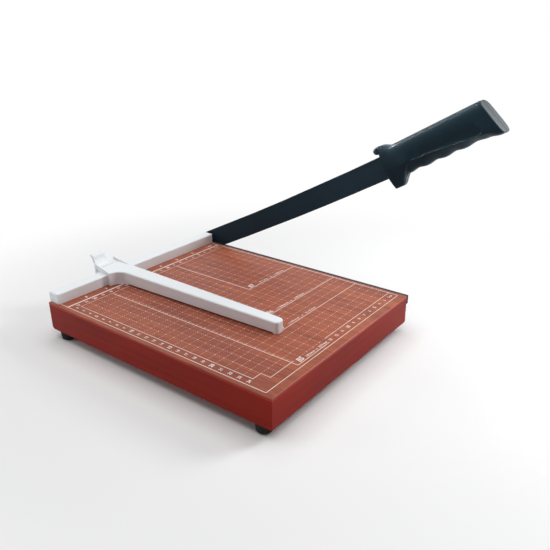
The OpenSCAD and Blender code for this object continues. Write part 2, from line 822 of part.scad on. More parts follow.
// Hollow under the guide's arm, between its cross ribs
module guide_hollow() {
    w = guide_wall;
    q0 = head_lap + w;
    q1 = guide_l - guide_tip_r;
    rib_pitch = (q1 - q0) / (rib_n + 1);
    end_p = left_edge(q1) - w;
    root_p = left_edge(q0 + guide_fillet) - w;
    difference() {
        intersection() {
            translate([0, 0, top_z - over]) linear_extrude(guide_h + over) polygon([
                guide_pt(w, q0), guide_pt(w, q1), guide_pt(end_p, q1),
                guide_pt(root_p, q0 + guide_fillet), guide_pt(root_p, q0)
            ]);
            along_x(guide_x - head_w, guide_x) polygon([for (v = [
                [q0, -over], [q1, -over], [q1, guide_tip_h - w], [q0, guide_h - w]
            ]) [fence_y0 - v[0], top_z + v[1]]]);
        }
        for (i = [1 : rib_n])
            translate([guide_x - head_w, fence_y0 - q0 - i * rib_pitch - w / 2, top_z])
                cube([head_w, w, guide_h]);
    }
}

// Rims of the two cheeks, rising towards the back
module guide_cheeks() {
    back_p = head_w - head_taper;
    c = cheek_t;
    front_in = 2;
    front_q = head_lap - front_in;
    intersection() {
        along_x(guide_x - head_w, guide_x) polygon([for (v = [
            [front_q, guide_h - over], [-head_end, guide_h - over],
            [-head_end, guide_h + cheek_rise], [front_q, guide_h]
        ]) [fence_y0 - v[0], top_z + v[1]]]);
        translate([0, 0, top_z]) linear_extrude(guide_h + cheek_rise + over) {
            polygon([
                guide_pt(0, head_lap), guide_pt(c, head_lap),
                guide_pt(c, -head_end), guide_pt(0, -head_end)
            ]);
            polygon([
                guide_pt(head_w, head_lap), guide_pt(back_p, -head_end),
                guide_pt(back_p - c, -head_end), guide_pt(head_w - c, head_lap)
            ]);
        }
    }
}

// The lever turns in a slot at the back, and its lobe reaches the fence through a window
module paper_guide() {
    g = slide_gap;
    slot_y = pin_y - barrel_r - 2 * g;
    slot_w = lever_w + 2 * g;
    color("#f2f5f7") placed() difference() {
        union() {
            intersection() {
                translate([0, 0, top_z]) linear_extrude(guide_h + over) guide_plan();
                along_x(guide_x - head_w - over, guide_x + over) guide_side();
            }
            guide_cheeks();
        }
        guide_hollow();
        translate([lever_x0 - g, slot_y, top_z]) cube([slot_w, head_end, guide_h + cheek_rise + over]);
        translate([lever_x0 - g, fence_y1 - over, top_z])
            cube([slot_w, slot_y - fence_y1 + 2 * over, pin_up + lobe_r + g]);
        rod_x(pin_x0 - over, pin_x1 + over, pin_d / 2 + run_fit, pin_y, pin_z);
    }
}

module lever_pin() {
    color("silver") placed() rod_x(pin_x0, pin_x1, pin_d / 2, pin_y, pin_z);
}

// Side view of the lever about its pin: barrel, clamping lobe and curled plate
module lever_outline() {
    t = lever_t;
    bend = 3;
    tip_lean = 10;
    c1 = [lever_root, lever_top + lever_curve];
    turn = [cos(lever_lean - 90), sin(lever_lean - 90)];
    along = [cos(lever_lean), sin(lever_lean)];
    c2 = c1 + (lever_curve + bend) * turn + lever_plate * along;
    tip = [cos(tip_lean), sin(tip_lean)];
    rise = [-sin(tip_lean), cos(tip_lean)];
    front_end = c2 + bend * rise + lever_tip * tip;
    back_end = c2 + (bend - t) * rise + lever_tip * tip;
    polygon(concat(
        [[lever_root - barrel_r - slide_gap, lever_top], [lever_root - barrel_r, 0], [lever_root, 0]],
        arc(c1, lever_curve + t, -90, lever_lean - 90),
        arc(c2, bend - t, lever_lean + 90, tip_lean + 90, 4),
        [back_end, front_end],
        arc(c2, bend, tip_lean + 90, lever_lean + 90, 6),
        arc(c1, lever_curve, lever_lean - 90, -90)
    ));
    circle(r = barrel_r);
    translate([lobe_at * cos(180 + lever_swing), lobe_at * sin(180 + lever_swing)]) circle(r = lobe_r);
}

module lever_plan() {
    r = lever_round;
    front = -over - lobe_at - lobe_r;
    polygon(concat(
        [[lever_x0, front], [lever_x1, front]],
        arc([lever_x1 - r, lever_reach - r], r, 0, 90),
        arc([lever_x0 + r, lever_reach - r], r, 90, 180)
    ));
}

module clamp_lever() {
    tall = 6 * pin_up;
    color("#f2f5f7") placed() translate([0, pin_y, pin_z]) difference() {
        intersection() {
            along_x(lever_x0, lever_x1) lever_outline();
            translate([0, 0, -pin_up]) linear_extrude(tall) lever_plan();
        }
        rod_x(lever_x0 - over, lever_x1 + over, pin_d / 2 + run_fit, 0, 0);
    }
}

base_board();
top_panel();
fence_rail();
fence_screws();
fixed_blade();
fixed_blade_screws();
foot_front_left();
foot_front_right();
foot_rear_left();
foot_rear_right();
foot_washers();
foot_screws();
pivot_bolt();
pivot_bush();
pivot_washer();
disc_spring();
lock_nut();
moving_blade();
handle_inner_half();
handle_outer_half();
handle_screws();
paper_guide();
lever_pin();
clamp_lever();
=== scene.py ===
"""Looks of a guillotine paper cutter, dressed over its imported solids.

X runs to the user's right, Y away from the user and Z up, in metres. Every piece sits on its solid:
places come from the frame, and sizes that a user would change are properties.
"""

import json
import math

import bmesh
import bpy
from mathutils import Matrix, Vector


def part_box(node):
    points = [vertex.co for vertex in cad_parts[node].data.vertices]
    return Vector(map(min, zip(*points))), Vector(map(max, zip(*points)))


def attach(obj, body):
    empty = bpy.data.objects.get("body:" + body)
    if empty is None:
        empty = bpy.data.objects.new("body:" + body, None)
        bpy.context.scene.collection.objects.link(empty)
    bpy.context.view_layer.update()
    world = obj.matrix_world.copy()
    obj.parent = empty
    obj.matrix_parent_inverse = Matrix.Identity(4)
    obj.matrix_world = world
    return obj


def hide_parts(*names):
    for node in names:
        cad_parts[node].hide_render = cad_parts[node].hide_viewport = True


bl_info = {
    "name": "Paper Cutter",
    "version": (1, 0, 0),
    "blender": (4, 5, 0),
    "location": "View3D > Sidebar > Paper Cutter",
    "description": "Dresses the solids of a guillotine paper cutter",
    "category": "Object",
}

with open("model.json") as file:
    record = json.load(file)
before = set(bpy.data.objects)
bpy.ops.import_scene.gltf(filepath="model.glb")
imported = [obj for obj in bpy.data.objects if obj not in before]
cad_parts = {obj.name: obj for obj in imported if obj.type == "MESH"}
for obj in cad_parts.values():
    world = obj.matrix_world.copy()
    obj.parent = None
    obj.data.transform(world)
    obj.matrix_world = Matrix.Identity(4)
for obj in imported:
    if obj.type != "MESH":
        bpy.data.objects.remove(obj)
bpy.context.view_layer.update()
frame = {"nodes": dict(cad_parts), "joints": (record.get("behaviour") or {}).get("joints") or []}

MM = 0.001
WELD = 1e-6
SHARP = math.radians(30)
LEVEL = math.radians(0.6)
FLAT_AREA = 100 * MM * MM
FACING, EDGE_ON = 0.9, 0.3
WHITE = (1, 1, 1)

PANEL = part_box("top_panel")
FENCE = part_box("fence_rail")
SWING = next(j for j in frame["joints"] if j["name"] == "blade_swing")
PIVOT = Vector(SWING["pos_m"])
ARM_ANGLE = math.radians(-SWING["range_deg"][0])
BOARD_TOP = PANEL[1].z


def paint(code):
    """Linear colour of a six-digit sRGB code."""
    parts = [int(code[i:i + 2], 16) / 255 for i in (0, 2, 4)]
    return [c / 12.92 if c <= 0.04045 else ((c + 0.055) / 1.055) ** 2.4 for c in parts]


def colour(label, words, code):
    """A colour property."""
    return bpy.props.FloatVectorProperty(
        name=label, description=words, subtype="COLOR", size=3, min=0, max=1, default=paint(code))


def length(label, words, mm):
    """A length property, with its default in millimetres."""
    return bpy.props.FloatProperty(
        name=label, description=words, subtype="DISTANCE", unit="LENGTH", default=mm * MM, min=0)


class CutterColours(bpy.types.PropertyGroup):
    """Colours of the finishes."""

    wood: colour("Top", "Lacquered wood of the printed top", "a4563a")
    wood_dark: colour("Top Grain", "Dark streaks in the top's grain", "8e4430")
    wood_light: colour("Top Figure", "Light streaks in the top's grain", "b56342")
    side: colour("Sides", "Lacquered sides of the board", "962010")
    side_dark: colour("Side Grain", "Dark streaks in the sides", "801609")
    band: colour("Edge Band", "Red lacquer on the top panel's edges", "a92812")
    ink: colour("Print", "White ink of the scales", "f4ece6")
    plastic: colour("White Plastic", "Fence, guide and lever", "edf1f4")
    coating: colour("Blade Coating", "Blue-black coating of the blades", "223440")
    steel: colour("Steel", "Bare ground steel", "c4c8cb")
    grip: colour("Grip", "Dark plastic of the handle", "0c2732")
    rubber: colour("Rubber", "Feet", "141516")
    zinc: colour("Zinc", "Plated screws, bolt, nut and washers", "b7bbbe")
    brass: colour("Brass", "Bush of the pivot", "b08d4f")
    floor: colour("Floor", "Table under the cutter", "f4f4f4")


class CutterSizes(bpy.types.PropertyGroup):
    """Sizes of what the scene adds to the solids."""

    corner_round: length("Corner Round", "Rounding of the board's upright corners", 0.8)
    guide_round: length("Guide Round", "Rounding of the guide's top edges", 1.8)
    fence_round: length("Fence Round", "Rounding of the fence's ends", 1.0)
    plastic_round: length("Plastic Round", "Rounding of the other plastic edges", 0.45)
    metal_round: length("Metal Round", "Rounding of the metal edges", 0.25)
    score: length("Score", "Width of the line scored in the blade beside the guard", 0.9)
    lever_front: length("Lever Front", "Added to the lever's front edge, towards its slot's wall", 0.9)
    ink_rise: length("Ink Rise", "Height of the ink over the lacquer", 0.04)
    fine_line: length("Fine Line", "Width of a fine printed line", 0.55)
    bold_line: length("Bold Line", "Width of the bold printed line", 1.5)
    dot: length("Crossing Dot", "Diameter of the dots where the grid crosses", 1.15)
    numeral: length("Numeral", "Height of the numerals", 3.2)
    label: length("Format Mark", "Height of the paper format marks", 5.6)
    zero_right: length("Scale Zero", "Scale zero outside the board's right edge", 7)
    zero_front: length("Scale Start", "Scale zero in front of the fence", 0.9)
    guard_clear: length("Guard Clear", "Guard in front of the board with the arm down", 1.4)
    handle_l: length("Handle Length", "From the guard's face to the butt", 115.3)
    handle_h: length("Handle Height", "Height of the grip", 31.5)
    handle_w: length("Handle Width", "Width across both halves", 21)
    handle_rise: length("Handle Rise", "Handle axis above the pivot's line", 7.8)
    handle_tilt: bpy.props.FloatProperty(
        name="Handle Tilt", description="Tilt from the blade", subtype="ANGLE", default=math.radians(2))
    butt_slant: bpy.props.FloatProperty(
        name="Butt Slant", description="Slant of the end face", subtype="ANGLE", default=math.radians(16))
    butt_drop: length("Butt Drop", "Drop of the butt below the grip", 2.8)
    guard_drop: length("Guard Drop", "Drop of the finger guard below the grip", 9.2)
    edge_drop: length("Edge Drop", "Cutting edge below the pivot's axis, at the guard", 5.2)
    front_lean: length("Front Lean", "Lean of the guard's face back towards the lip", 2.6)
    lip_l: length("Lip Length", "Thumb lip in front of the guard", 5.2)
    lip_h: length("Lip Height", "Height of the thumb lip", 7.5)
    lip_rise: length("Lip Rise", "Rise of the thumb lip above the grip", 4.2)
    wave_depth: length("Finger Wave", "Depth of a finger wave", 1.4)
    scallop: length("Side Scallop", "Depth of the long scallop on each side", 1.3)
    seam: length("Seam", "Chamfer where the handle's halves meet", 0.3)


# Node trees

class Wiring:
    """A short way to add and join nodes in a tree, where a node stands for its first output."""

    bsdf = None

    def __init__(self, tree):
        self.tree = tree

    def add(self, kind, inputs=None, **settings):
        node = self.tree.nodes.new(kind)
        for key, value in settings.items():
            setattr(node, key, value)
        for key, value in (inputs or {}).items():
            self.feed(node.inputs[key], value)
        return node

    def feed(self, socket, value):
        if isinstance(value, bpy.types.Node):
            value = value.outputs[0]
        if isinstance(value, bpy.types.NodeSocket):
            self.tree.links.new(value, socket)
        else:
            socket.default_value = value

    def math(self, operation, *values):
        node = self.add("ShaderNodeMath", operation=operation)
        for socket, value in zip(node.inputs, values):
            self.feed(socket, value)
        return node


def rgba(linear):
    return (*linear, 1.0)


def blank_material(name, roughness, base=None, **shader):
    """Wiring of a new material with one principled shader."""
    made = bpy.data.materials.new(name)
    made.use_nodes = True
    made.node_tree.nodes.clear()
    w = Wiring(made.node_tree)
    w.bsdf = w.add("ShaderNodeBsdfPrincipled", {"Roughness": roughness})
    if base:
        base_colour(w, rgba(base))
    for key, value in shader.items():
        w.feed(w.bsdf.inputs[key.replace("_", " ")], value)
    w.add("ShaderNodeOutputMaterial", {"Surface": w.bsdf})
    return w


def noise(w, scale, detail, roughness, distortion=0.0):
    """Noise on object coordinates, with one scale or its own on each axis."""
    scales = scale if isinstance(scale, tuple) else (scale, scale, scale)
    place = w.add("ShaderNodeTexCoord")
    turn = w.add("ShaderNodeMapping", {"Vector": place.outputs["Object"], "Scale": scales})
    made = w.add("ShaderNodeTexNoise", {
        "Vector": turn, "Scale": 1.0, "Detail": detail,
        "Roughness": roughness, "Distortion": distortion})
    return made.outputs["Fac"]


def ramp(w, factor, stops):
    """A colour ramp through the stops (position, colour)."""
    node = w.add("ShaderNodeValToRGB", {"Fac": factor})
    points = node.color_ramp.elements
    while len(points) < len(stops):
        points.new(0.5)
    for point, (place, tone) in zip(points, stops):
        point.position = place
        point.color = rgba(tone)
    return node.outputs["Color"]


def base_colour(w, tone):
    w.feed(w.bsdf.inputs["Base Color"], tone)


def bump(w, height, strength, distance):
    node = w.add("ShaderNodeBump", {"Height": height, "Strength": strength, "Distance": distance})
    w.feed(w.bsdf.inputs["Normal"], node)


def spread(w, factor, low, high):
    """Roughness that wanders between two values."""
    node = w.add("ShaderNodeMapRange", {"Value": factor, "To Min": low, "To Max": high})
    w.feed(w.bsdf.inputs["Roughness"], node)


def stain(w, factor, tone, share, low=0.3, high=0.7):
    """Base colour that wanders from a share of a tone to the tone itself."""
    deep = [share * v for v in tone]
    base_colour(w, ramp(w, factor, [(low, deep), (high, tone)]))


def shade(w, tone, over, share):
    """A colour darkened by a share of another."""
    node = w.add("ShaderNodeMix", {0: share, 6: tone, 7: over}, data_type="RGBA", blend_type="MULTIPLY")
    return node.outputs[2]


def top_wood(c):
    """Red-brown wood with its grain along the blade, under satin lacquer."""
    w = blank_material("lacquered_top_wood", 0.42, Specular_IOR_Level=0.3)
    streak = noise(w, (55, 3.2, 55), 6, 0.62, 0.35)
    pores = noise(w, (900, 45, 900), 3, 0.55)
    cloud = noise(w, (9, 6, 9), 3, 0.5)
    tone = ramp(w, streak, [(0.3, c.wood_dark), (0.5, c.wood), (0.68, c.wood_light)])
    dark = ramp(w, pores, [(0.3, paint("c2a79b")), (0.52, WHITE)])
    patch = ramp(w, cloud, [(0.3, paint("dccbc4")), (0.7, WHITE)])
    base_colour(w, shade(w, shade(w, tone, dark, 1.0), patch, 0.8))
    spread(w, streak, 0.36, 0.5)
    bump(w, pores, 0.12, 0.0003)


def side_wood(c):
    """Dark red lacquer over wood, with faint level grain."""
    w = blank_material("lacquered_side_wood", 0.38, Specular_IOR_Level=0.1)
    streak = noise(w, (7, 7, 150), 5, 0.6, 0.25)
    cloud = noise(w, (14, 14, 20), 3, 0.5)
    tone = ramp(w, streak, [(0.32, c.side_dark), (0.6, c.side)])
    patch = ramp(w, cloud, [(0.3, paint("e2d6d2")), (0.7, WHITE)])
    base_colour(w, shade(w, tone, patch, 0.8))
    spread(w, cloud, 0.32, 0.46)
    bump(w, streak, 0.05, 0.0002)


def band_lacquer(c):
    """Brighter red lacquer on the top panel's edges."""
    w = blank_material("red_edge_lacquer", 0.34, Specular_IOR_Level=0.2)
    streak = noise(w, (30, 30, 260), 4, 0.6)
    stain(w, streak, c.band, 0.72, high=0.6)
    bump(w, streak, 0.06, 0.0002)


def print_ink(c):
    """White screen ink, a little worn."""
    w = blank_material("white_ink", 0.5)
    worn = noise(w, 420, 4, 0.65)
    stain(w, worn, c.ink, 0.82, 0.34, 0.5)


def white_plastic(c):
    """White moulded plastic with a soft shine and a trace of flow marks."""
    w = blank_material("white_moulded_plastic", 0.36)
    flow = noise(w, 26, 4, 0.55)
    skin = noise(w, 1500, 2, 0.5)
    stain(w, flow, c.plastic, 0.965)
    spread(w, flow, 0.3, 0.42)
    bump(w, skin, 0.03, 0.0001)


def blade_coating(c):
    """Blue-black satin coating with faint draw marks."""
    w = blank_material("blue_black_coating", 0.6, Specular_IOR_Level=0.1)
    draw = noise(w, (40, 18, 900), 3, 0.5)
    cloud = noise(w, 16, 3, 0.5)
    stain(w, cloud, c.coating, 0.72)
    spread(w, draw, 0.56, 0.66)
    bump(w, draw, 0.04, 0.0001)


def ground_steel(c):
    """Bare steel ground across the cutting edge."""
    w = blank_material("ground_steel", 0.3, Metallic=1.0)
    marks = noise(w, (600, 900, 60), 3, 0.6)
    stain(w, marks, c.steel, 0.7)
    spread(w, marks, 0.22, 0.42)


def grip_plastic(c):
    """Dark plastic with a fine sand-like grain."""
    w = blank_material("grained_grip_plastic", 0.42, Specular_IOR_Level=0.16)
    sand = noise(w, 1100, 2, 0.5)
    cloud = noise(w, 30, 3, 0.5)
    stain(w, cloud, c.grip, 0.8)
    spread(w, cloud, 0.36, 0.46)
    bump(w, sand, 0.05, 0.0002)


def foot_rubber(c):
    """Matt black rubber with dusty patches."""
    w = blank_material("matt_foot_rubber", 0.75, Specular_IOR_Level=0.25)
    dust = noise(w, 220, 4, 0.6)
    pale = [1.6 * v for v in c.rubber]
    base_colour(w, ramp(w, dust, [(0.4, c.rubber), (0.75, pale)]))
    bump(w, dust, 0.1, 0.0002)


def plated_metal(name, tone):
    """Turned and plated metal with fine wandering shine."""
    w = blank_material(name, 0.32, Metallic=1.0)
    cloud = noise(w, 300, 4, 0.6)
    stain(w, cloud, tone, 0.75)
    spread(w, cloud, 0.24, 0.42)


def finish(name):
    """The material of that name, which the first operator has made."""
    if name not in bpy.data.materials:
        raise RuntimeError(f"make the finishes first: {name} is missing")
    return bpy.data.materials[name]


# Meshes

def node_mesh(node):
    """A copy of a node's mesh with its double points welded."""
    bm = bmesh.new()
    bm.from_mesh(frame["nodes"][node].data)
    bmesh.ops.remove_doubles(bm, verts=bm.verts, dist=WELD)
    return bm


def welded(node):
    """A closed copy of a node's mesh, freed of loose flaps, its flat faces joined."""
    bm = node_mesh(node)
    while flaps := {f for e in bm.edges if len(e.link_faces) == 1 for f in e.link_faces}:
        bmesh.ops.delete(bm, geom=list(flaps), context="FACES")
    if not bm.faces:
        raise RuntimeError(f"{node} is not a closed solid")
    bmesh.ops.dissolve_limit(bm, angle_limit=LEVEL, verts=bm.verts, edges=bm.edges)
    return bm


def put(name, data):
    """A new object in the scene."""
    made = bpy.data.objects.new(name, data)
    bpy.context.scene.collection.objects.link(made)
    return made


def link_mesh(name, bm, *materials):
    """A new object that holds a bmesh."""
    mesh = bpy.data.meshes.new(name)
    bm.to_mesh(mesh)
    bm.free()
    for made in materials:
        mesh.materials.append(made)
    return put(name, mesh)


def settle(piece):
    """Turns a piece's modifiers into its plain mesh."""
    depsgraph = bpy.context.evaluated_depsgraph_get()
    mesh = bpy.data.meshes.new_from_object(piece.evaluated_get(depsgraph), depsgraph=depsgraph)
    before = piece.data
    piece.modifiers.clear()
    piece.data = mesh
    bpy.data.meshes.remove(before)
    mesh.name = piece.name


def soften(piece, angle=SHARP):
    """Smooth shading that keeps crisp edges and flat faces."""
    piece.data.shade_smooth()
    piece.data.set_sharp_from_angle(angle=angle)
    even = piece.modifiers.new("Even Normals", "WEIGHTED_NORMAL")
    even.keep_sharp = True
    even.weight = 80
    settle(piece)
    mesh = piece.data
    normals = [n.vector.copy() for n in mesh.corner_normals]
    for face in mesh.polygons:
        if face.area > FLAT_AREA:
            face.use_smooth = False
            for i in face.loop_indices:
                normals[i] = face.normal.copy()
    mesh.normals_split_custom_set(normals)


def is_sharp(edge):
    return len(edge.link_faces) == 2 and edge.calc_face_angle() > SHARP


def round_edges(bm, width):
    """Weights sharp edges by the width of their rounding, one for all or by edge, and returns the largest."""
    width_of = width if callable(width) else lambda edge: width
    layer = bm.edges.layers.float.new("bevel_weight_edge")
    widths = {e: width_of(e) for e in bm.edges if is_sharp(e)}
    most = max(widths.values(), default=0)
    for edge, own in widths.items():
        edge[layer] = own / most if most else 0
    return most


def dress(name, node, finishes, width, body, slot, segments=3, sort=None, cut=None):
    """A rounded copy of a node, which it replaces, with a solid cut out of it if there is one."""
    bm = welded(node)
    if sort:
        for face in bm.faces:
            face.material_index = sort(face)
    most = round_edges(bm, width)
    piece = link_mesh(name, bm, *map(finish, finishes))
    if most:
        edge = piece.modifiers.new("Edges", "BEVEL")
        edge.limit_method = "WEIGHT"
        edge.width = most
        edge.segments = segments
        edge.use_clamp_overlap = False
        edge.loop_slide = True
        settle(piece)
        low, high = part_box(node)
        for vert in piece.data.vertices:
            vert.co = [min(max(at, least), top) for at, least, top in zip(vert.co, low, high)]
    if cut:
        carve(piece, cut)
    soften(piece)
    return seat(piece, body, slot, node)


def seat(piece, body, slot, *nodes):
    """Parents a finished piece to its body's empty and hides the nodes it replaces."""
    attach(piece, body)
    if nodes:
        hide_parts(*nodes)
    return piece


def carve(piece, bm):
    """Cuts a solid out of a piece."""
    tool = link_mesh("tool", bm)
    cut = piece.modifiers.new("Cut", "BOOLEAN")
    cut.operation = "DIFFERENCE"
    cut.solver = "MANIFOLD"
    cut.object = tool
    settle(piece)
    mesh = tool.data
    bpy.data.objects.remove(tool)
    bpy.data.meshes.remove(mesh)


def arm_frame(size):
    """Matrix of the arm, with -Y along the blade from the pivot, and the guard's distance along it."""
    guard_at = PIVOT.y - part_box("base_board")[0].y + size.guard_clear
    return Matrix.Translation(PIVOT) @ Matrix.Rotation(-ARM_ANGLE, 4, "X"), guard_at


def clamp(x):
    return min(1, max(0, x))


def ease(x):
    c = clamp(x)
    return c * c * (3 - 2 * c)


def mix(a, b, k):
    return a + (b - a) * k


def mid(edge):
    return (edge.verts[0].co + edge.verts[1].co) / 2


def islands(node):
    """Boxes of the separate solids of a node, as (lowest, highest) corners."""
    bm = node_mesh(node)
    left = set(bm.verts)
    found = []
    while left:
        group = [left.pop()]
        for vert in group:
            near = {e.other_vert(vert) for e in vert.link_edges} & left
            left -= near
            group.extend(near)
        spots = [v.co for v in group]
        found.append((
            Vector([min(c[i] for c in spots) for i in range(3)]),
            Vector([max(c[i] for c in spots) for i in range(3)])))
    bm.free()
    return sorted(found, key=lambda b: tuple(b[0]))


def geometry_tree(name, inputs):
    """A geometry tree with named inputs: its wiring and its input sockets."""
    tree = bpy.data.node_groups.new(name, "GeometryNodeTree")
    tree.interface.new_socket("Geometry", in_out="OUTPUT", socket_type="NodeSocketGeometry")
    for label, kind in inputs.items():
        tree.interface.new_socket(label, in_out="INPUT", socket_type="NodeSocket" + kind)
    w = Wiring(tree)
    return w, w.add("NodeGroupInput").outputs


def close_tree(w, instances, material):
    """Ends a tree in real geometry with its material."""
    real = w.add("GeometryNodeRealizeInstances", {0: instances})
    done = w.add("GeometryNodeSetMaterial", {0: real, "Material": material})
    w.add("NodeGroupOutput", {0: done})
    return w.tree


def grow(name, tree, values, spots=()):
    """A plain mesh that a tree makes from these input values, on these points if it asks for any."""
    bm = bmesh.new()
    for spot in spots:
        bm.verts.new(spot)
    piece = link_mesh(name, bm)
    grown = piece.modifiers.new("Tree", "NODES")
    grown.node_group = tree
    for item in tree.interface.items_tree:
        if item.in_out == "INPUT" and item.name in values:
            grown[item.identifier] = values[item.name]
    settle(piece)
    return piece


class CutterOperator:
    """What the operators share."""

    bl_options = {"REGISTER", "UNDO"}

    def execute(self, context):
        scene = context.scene
        self.build(scene.cutter_sizes, scene.cutter_colours)
        return {"FINISHED"}


class CUTTER_OT_finishes(CutterOperator, bpy.types.Operator):
    """Make the materials of every finish"""

    bl_idname = "cutter.finishes"
    bl_label = "Finishes"

    def build(self, size, c):
        for make in (top_wood, side_wood, band_lacquer, print_ink, white_plastic, blade_coating,
                     ground_steel, grip_plastic, foot_rubber):
            make(c)
        plated_metal("zinc_plate", c.zinc)
        plated_metal("turned_brass", c.brass)


class CUTTER_OT_board(CutterOperator, bpy.types.Operator):
    """Dress the board and its top panel"""

    bl_idname = "cutter.board"
    bl_label = "Board"

    UPRIGHT, AT_SIDE = 0.99, 0.1 * MM

    def build(self, size, c):
        def corner(edge):
            upright = abs((edge.verts[0].co - edge.verts[1].co).normalized().z) > self.UPRIGHT
            at = mid(edge)
            outer = min(at.x - PANEL[0].x, PANEL[1].x - at.x) < self.AT_SIDE
            return size.corner_round if upright and outer else 0

        dress("board_block", "base_board", ["lacquered_side_wood"], corner, "base", "board_wood")
        dress(
            "board_top", "top_panel", ["lacquered_top_wood", "red_edge_lacquer"], corner, "base",
            "printed_panel", sort=lambda face: int(abs(face.normal.z) < EDGE_ON))


class CUTTER_OT_scales(CutterOperator, bpy.types.Operator):
    """Print the scales, the paper formats and the dotted grid on the top"""

    bl_idname = "cutter.scales"
    bl_label = "Scales"

    # Millimetres to the left of the scale's zero and in front of it
    CM, INCH = 10, 25.4
    LEFT, INNER_LEFT, RIGHT = 229, 220, 11.5
    INCH_AT, BOLD_AT, BACK, INNER_FRONT, FRONT = 5.6, 10.8, 20, 250, 260.5
    RIGHT_FROM, CORNER_FROM, TICKS_AT, CM_WORD, INCH_WORD = 2, 131, 180.9, 18.5, 22
    GRID_MIDDLE = (115, 135)
    NAME_LEFT, NAME_FRONT = 8.5, 3.8
    # Place of a note from its format's corner, then its letters' width and gap
    NOTE, LARGE_NOTE = (42, 2.8, 1.1, 1.55), (31, 2.6, 1.0, 1.25)
    # Name, width, depth, end of the front line and note
    FORMATS = (
        ("B7", 91, 128, RIGHT, NOTE), ("B6", 128, 182, RIGHT, NOTE), ("A5", 148, 210, RIGHT, NOTE),
        ("B5", 182, 257, 135, LARGE_NOTE))
    THIN_LINE, TICK = 0.4 * MM, (2.2 * MM, 0.35 * MM)
    CAP = 0.72

    def build(self, size, c):
        self.size = size
        self.zero = Vector((PANEL[1].x + size.zero_right, FENCE[0].y - size.zero_front, BOARD_TOP))
        self.bm = bmesh.new()
        self.borders()
        self.formats()
        self.numerals()
        ink = finish("white_ink")
        seat(link_mesh("printed_scales", self.bm, ink), "base", "printed_panel")
        seat(grow("printed_grid", dotted_grid(), {
            "Columns": 21, "Rows": 23, "Bare": 1, "Pitch": self.CM * MM, "Dot": size.dot,
            "Rise": size.ink_rise, "Middle": self.at(*self.GRID_MIDDLE), "Ink": ink}), "base", "printed_panel")
        seat(grow("printed_ticks", tick_row(), {
            "Count": 47, "Start": self.at(self.TICKS_AT, self.BACK), "Step": Vector((0, -self.CM / 2 * MM, 0)),
            "Size": Vector((*self.TICK, size.ink_rise)), "Ink": ink}), "base", "printed_panel")

    def at(self, left, front):
        """Point on the print, in millimetres left of the scale's zero and in front of it."""
        return self.zero + Vector((-left * MM, -front * MM, self.size.ink_rise / 2))

    def line(self, left0, front0, left1, front1, width=None):
        width = width or self.size.fine_line
        a, b = self.at(left0, front0), self.at(left1, front1)
        box = Matrix.Diagonal((abs(b.x - a.x) + width, abs(b.y - a.y) + width, self.size.ink_rise, 1))
        bmesh.ops.create_cube(self.bm, size=1, matrix=Matrix.Translation((a + b) / 2) @ box)

    def path(self, *spots):
        """Fine lines from spot to spot."""
        for a, b in zip(spots, spots[1:]):
            self.line(*a, *b)

    def words(self, text, left, front, height, weight=0.06, slant=0.0, narrow=0.86, gap=1.0):
        curve = bpy.data.curves.new("mark", "FONT")
        curve.body = text
        curve.size = height / self.CAP
        curve.align_x = "CENTER"
        curve.align_y = "CENTER"
        curve.offset = weight * MM
        curve.shear = slant
        curve.space_character = gap
        curve.space_word = gap * gap
        curve.extrude = self.size.ink_rise / 2
        curve.resolution_u = 3
        mark = bpy.data.objects.new("mark", curve)
        mesh = bpy.data.meshes.new_from_object(mark)
        mesh.transform(Matrix.Translation(self.at(left, front)) @ Matrix.Diagonal((narrow, 1, 1, 1)))
        known = set(self.bm.verts)
        self.bm.from_mesh(mesh)
        added = [v for v in self.bm.verts if v not in known]
        bmesh.ops.remove_doubles(self.bm, verts=added, dist=WELD)
        bpy.data.meshes.remove(mesh)
        bpy.data.curves.remove(curve)

    def borders(self):
        left, inner, right, front = self.LEFT, self.INNER_LEFT, self.RIGHT, self.INNER_FRONT
        step, notch = inner - self.CM, front - self.CM
        wide = self.FORMATS[-1][1]
        self.line(left, self.BOLD_AT, right, self.BOLD_AT, self.size.bold_line)
        self.path((left, 0), (left, self.FRONT), (right, self.FRONT), (right, self.RIGHT_FROM))
        self.line(inner, self.BACK, right, self.BACK, self.THIN_LINE)
        self.path((inner, self.BACK), (inner, notch), (step, notch), (step, front), (wide, front))
        self.line(self.CORNER_FROM, front, right, front)

    def formats(self):
        small = 0.8 * self.size.numeral
        for name, wide, deep, end, (left, front, narrow, gap) in self.FORMATS:
            self.line(wide, self.BACK, wide, deep)
            self.line(wide, deep, end, deep)
            self.words(
                name, wide - self.NAME_LEFT, deep - self.NAME_FRONT, self.size.label, weight=0.12, slant=0.2)
            self.words(
                f"{wide}mm x {deep}mm", wide - left, deep - front, small, 0.07, 0.15, narrow, gap)

    def numerals(self):
        numeral = self.size.numeral
        back, front = (self.BOLD_AT + self.BACK) / 2, (self.INNER_FRONT + self.FRONT) / 2
        for cm in range(2, 25):
            self.number(cm, (self.LEFT + self.INNER_LEFT) / 2, cm * self.CM)
        for row, end in ((back, 23), (front, 14)):
            for cm in range(3, end):
                self.number(cm, cm * self.CM, row)
        for inch in range(2, 9):
            self.words(str(inch), inch * self.INCH, self.INCH_AT, 1.2 * numeral, weight=0.08)
        for row in (back, front):
            self.words("2 cm", self.CM_WORD, row, 0.9 * numeral)
        self.words("1 inch", self.INCH_WORD, self.INCH_AT, numeral)

    def number(self, value, left, front):
        """A scale numeral, larger and heavier at the fives and tens."""
        grown, weight = (1, 0.07) if value % 5 else (1.2, 0.14)
        self.words(str(value), left, front, grown * self.size.numeral, weight)


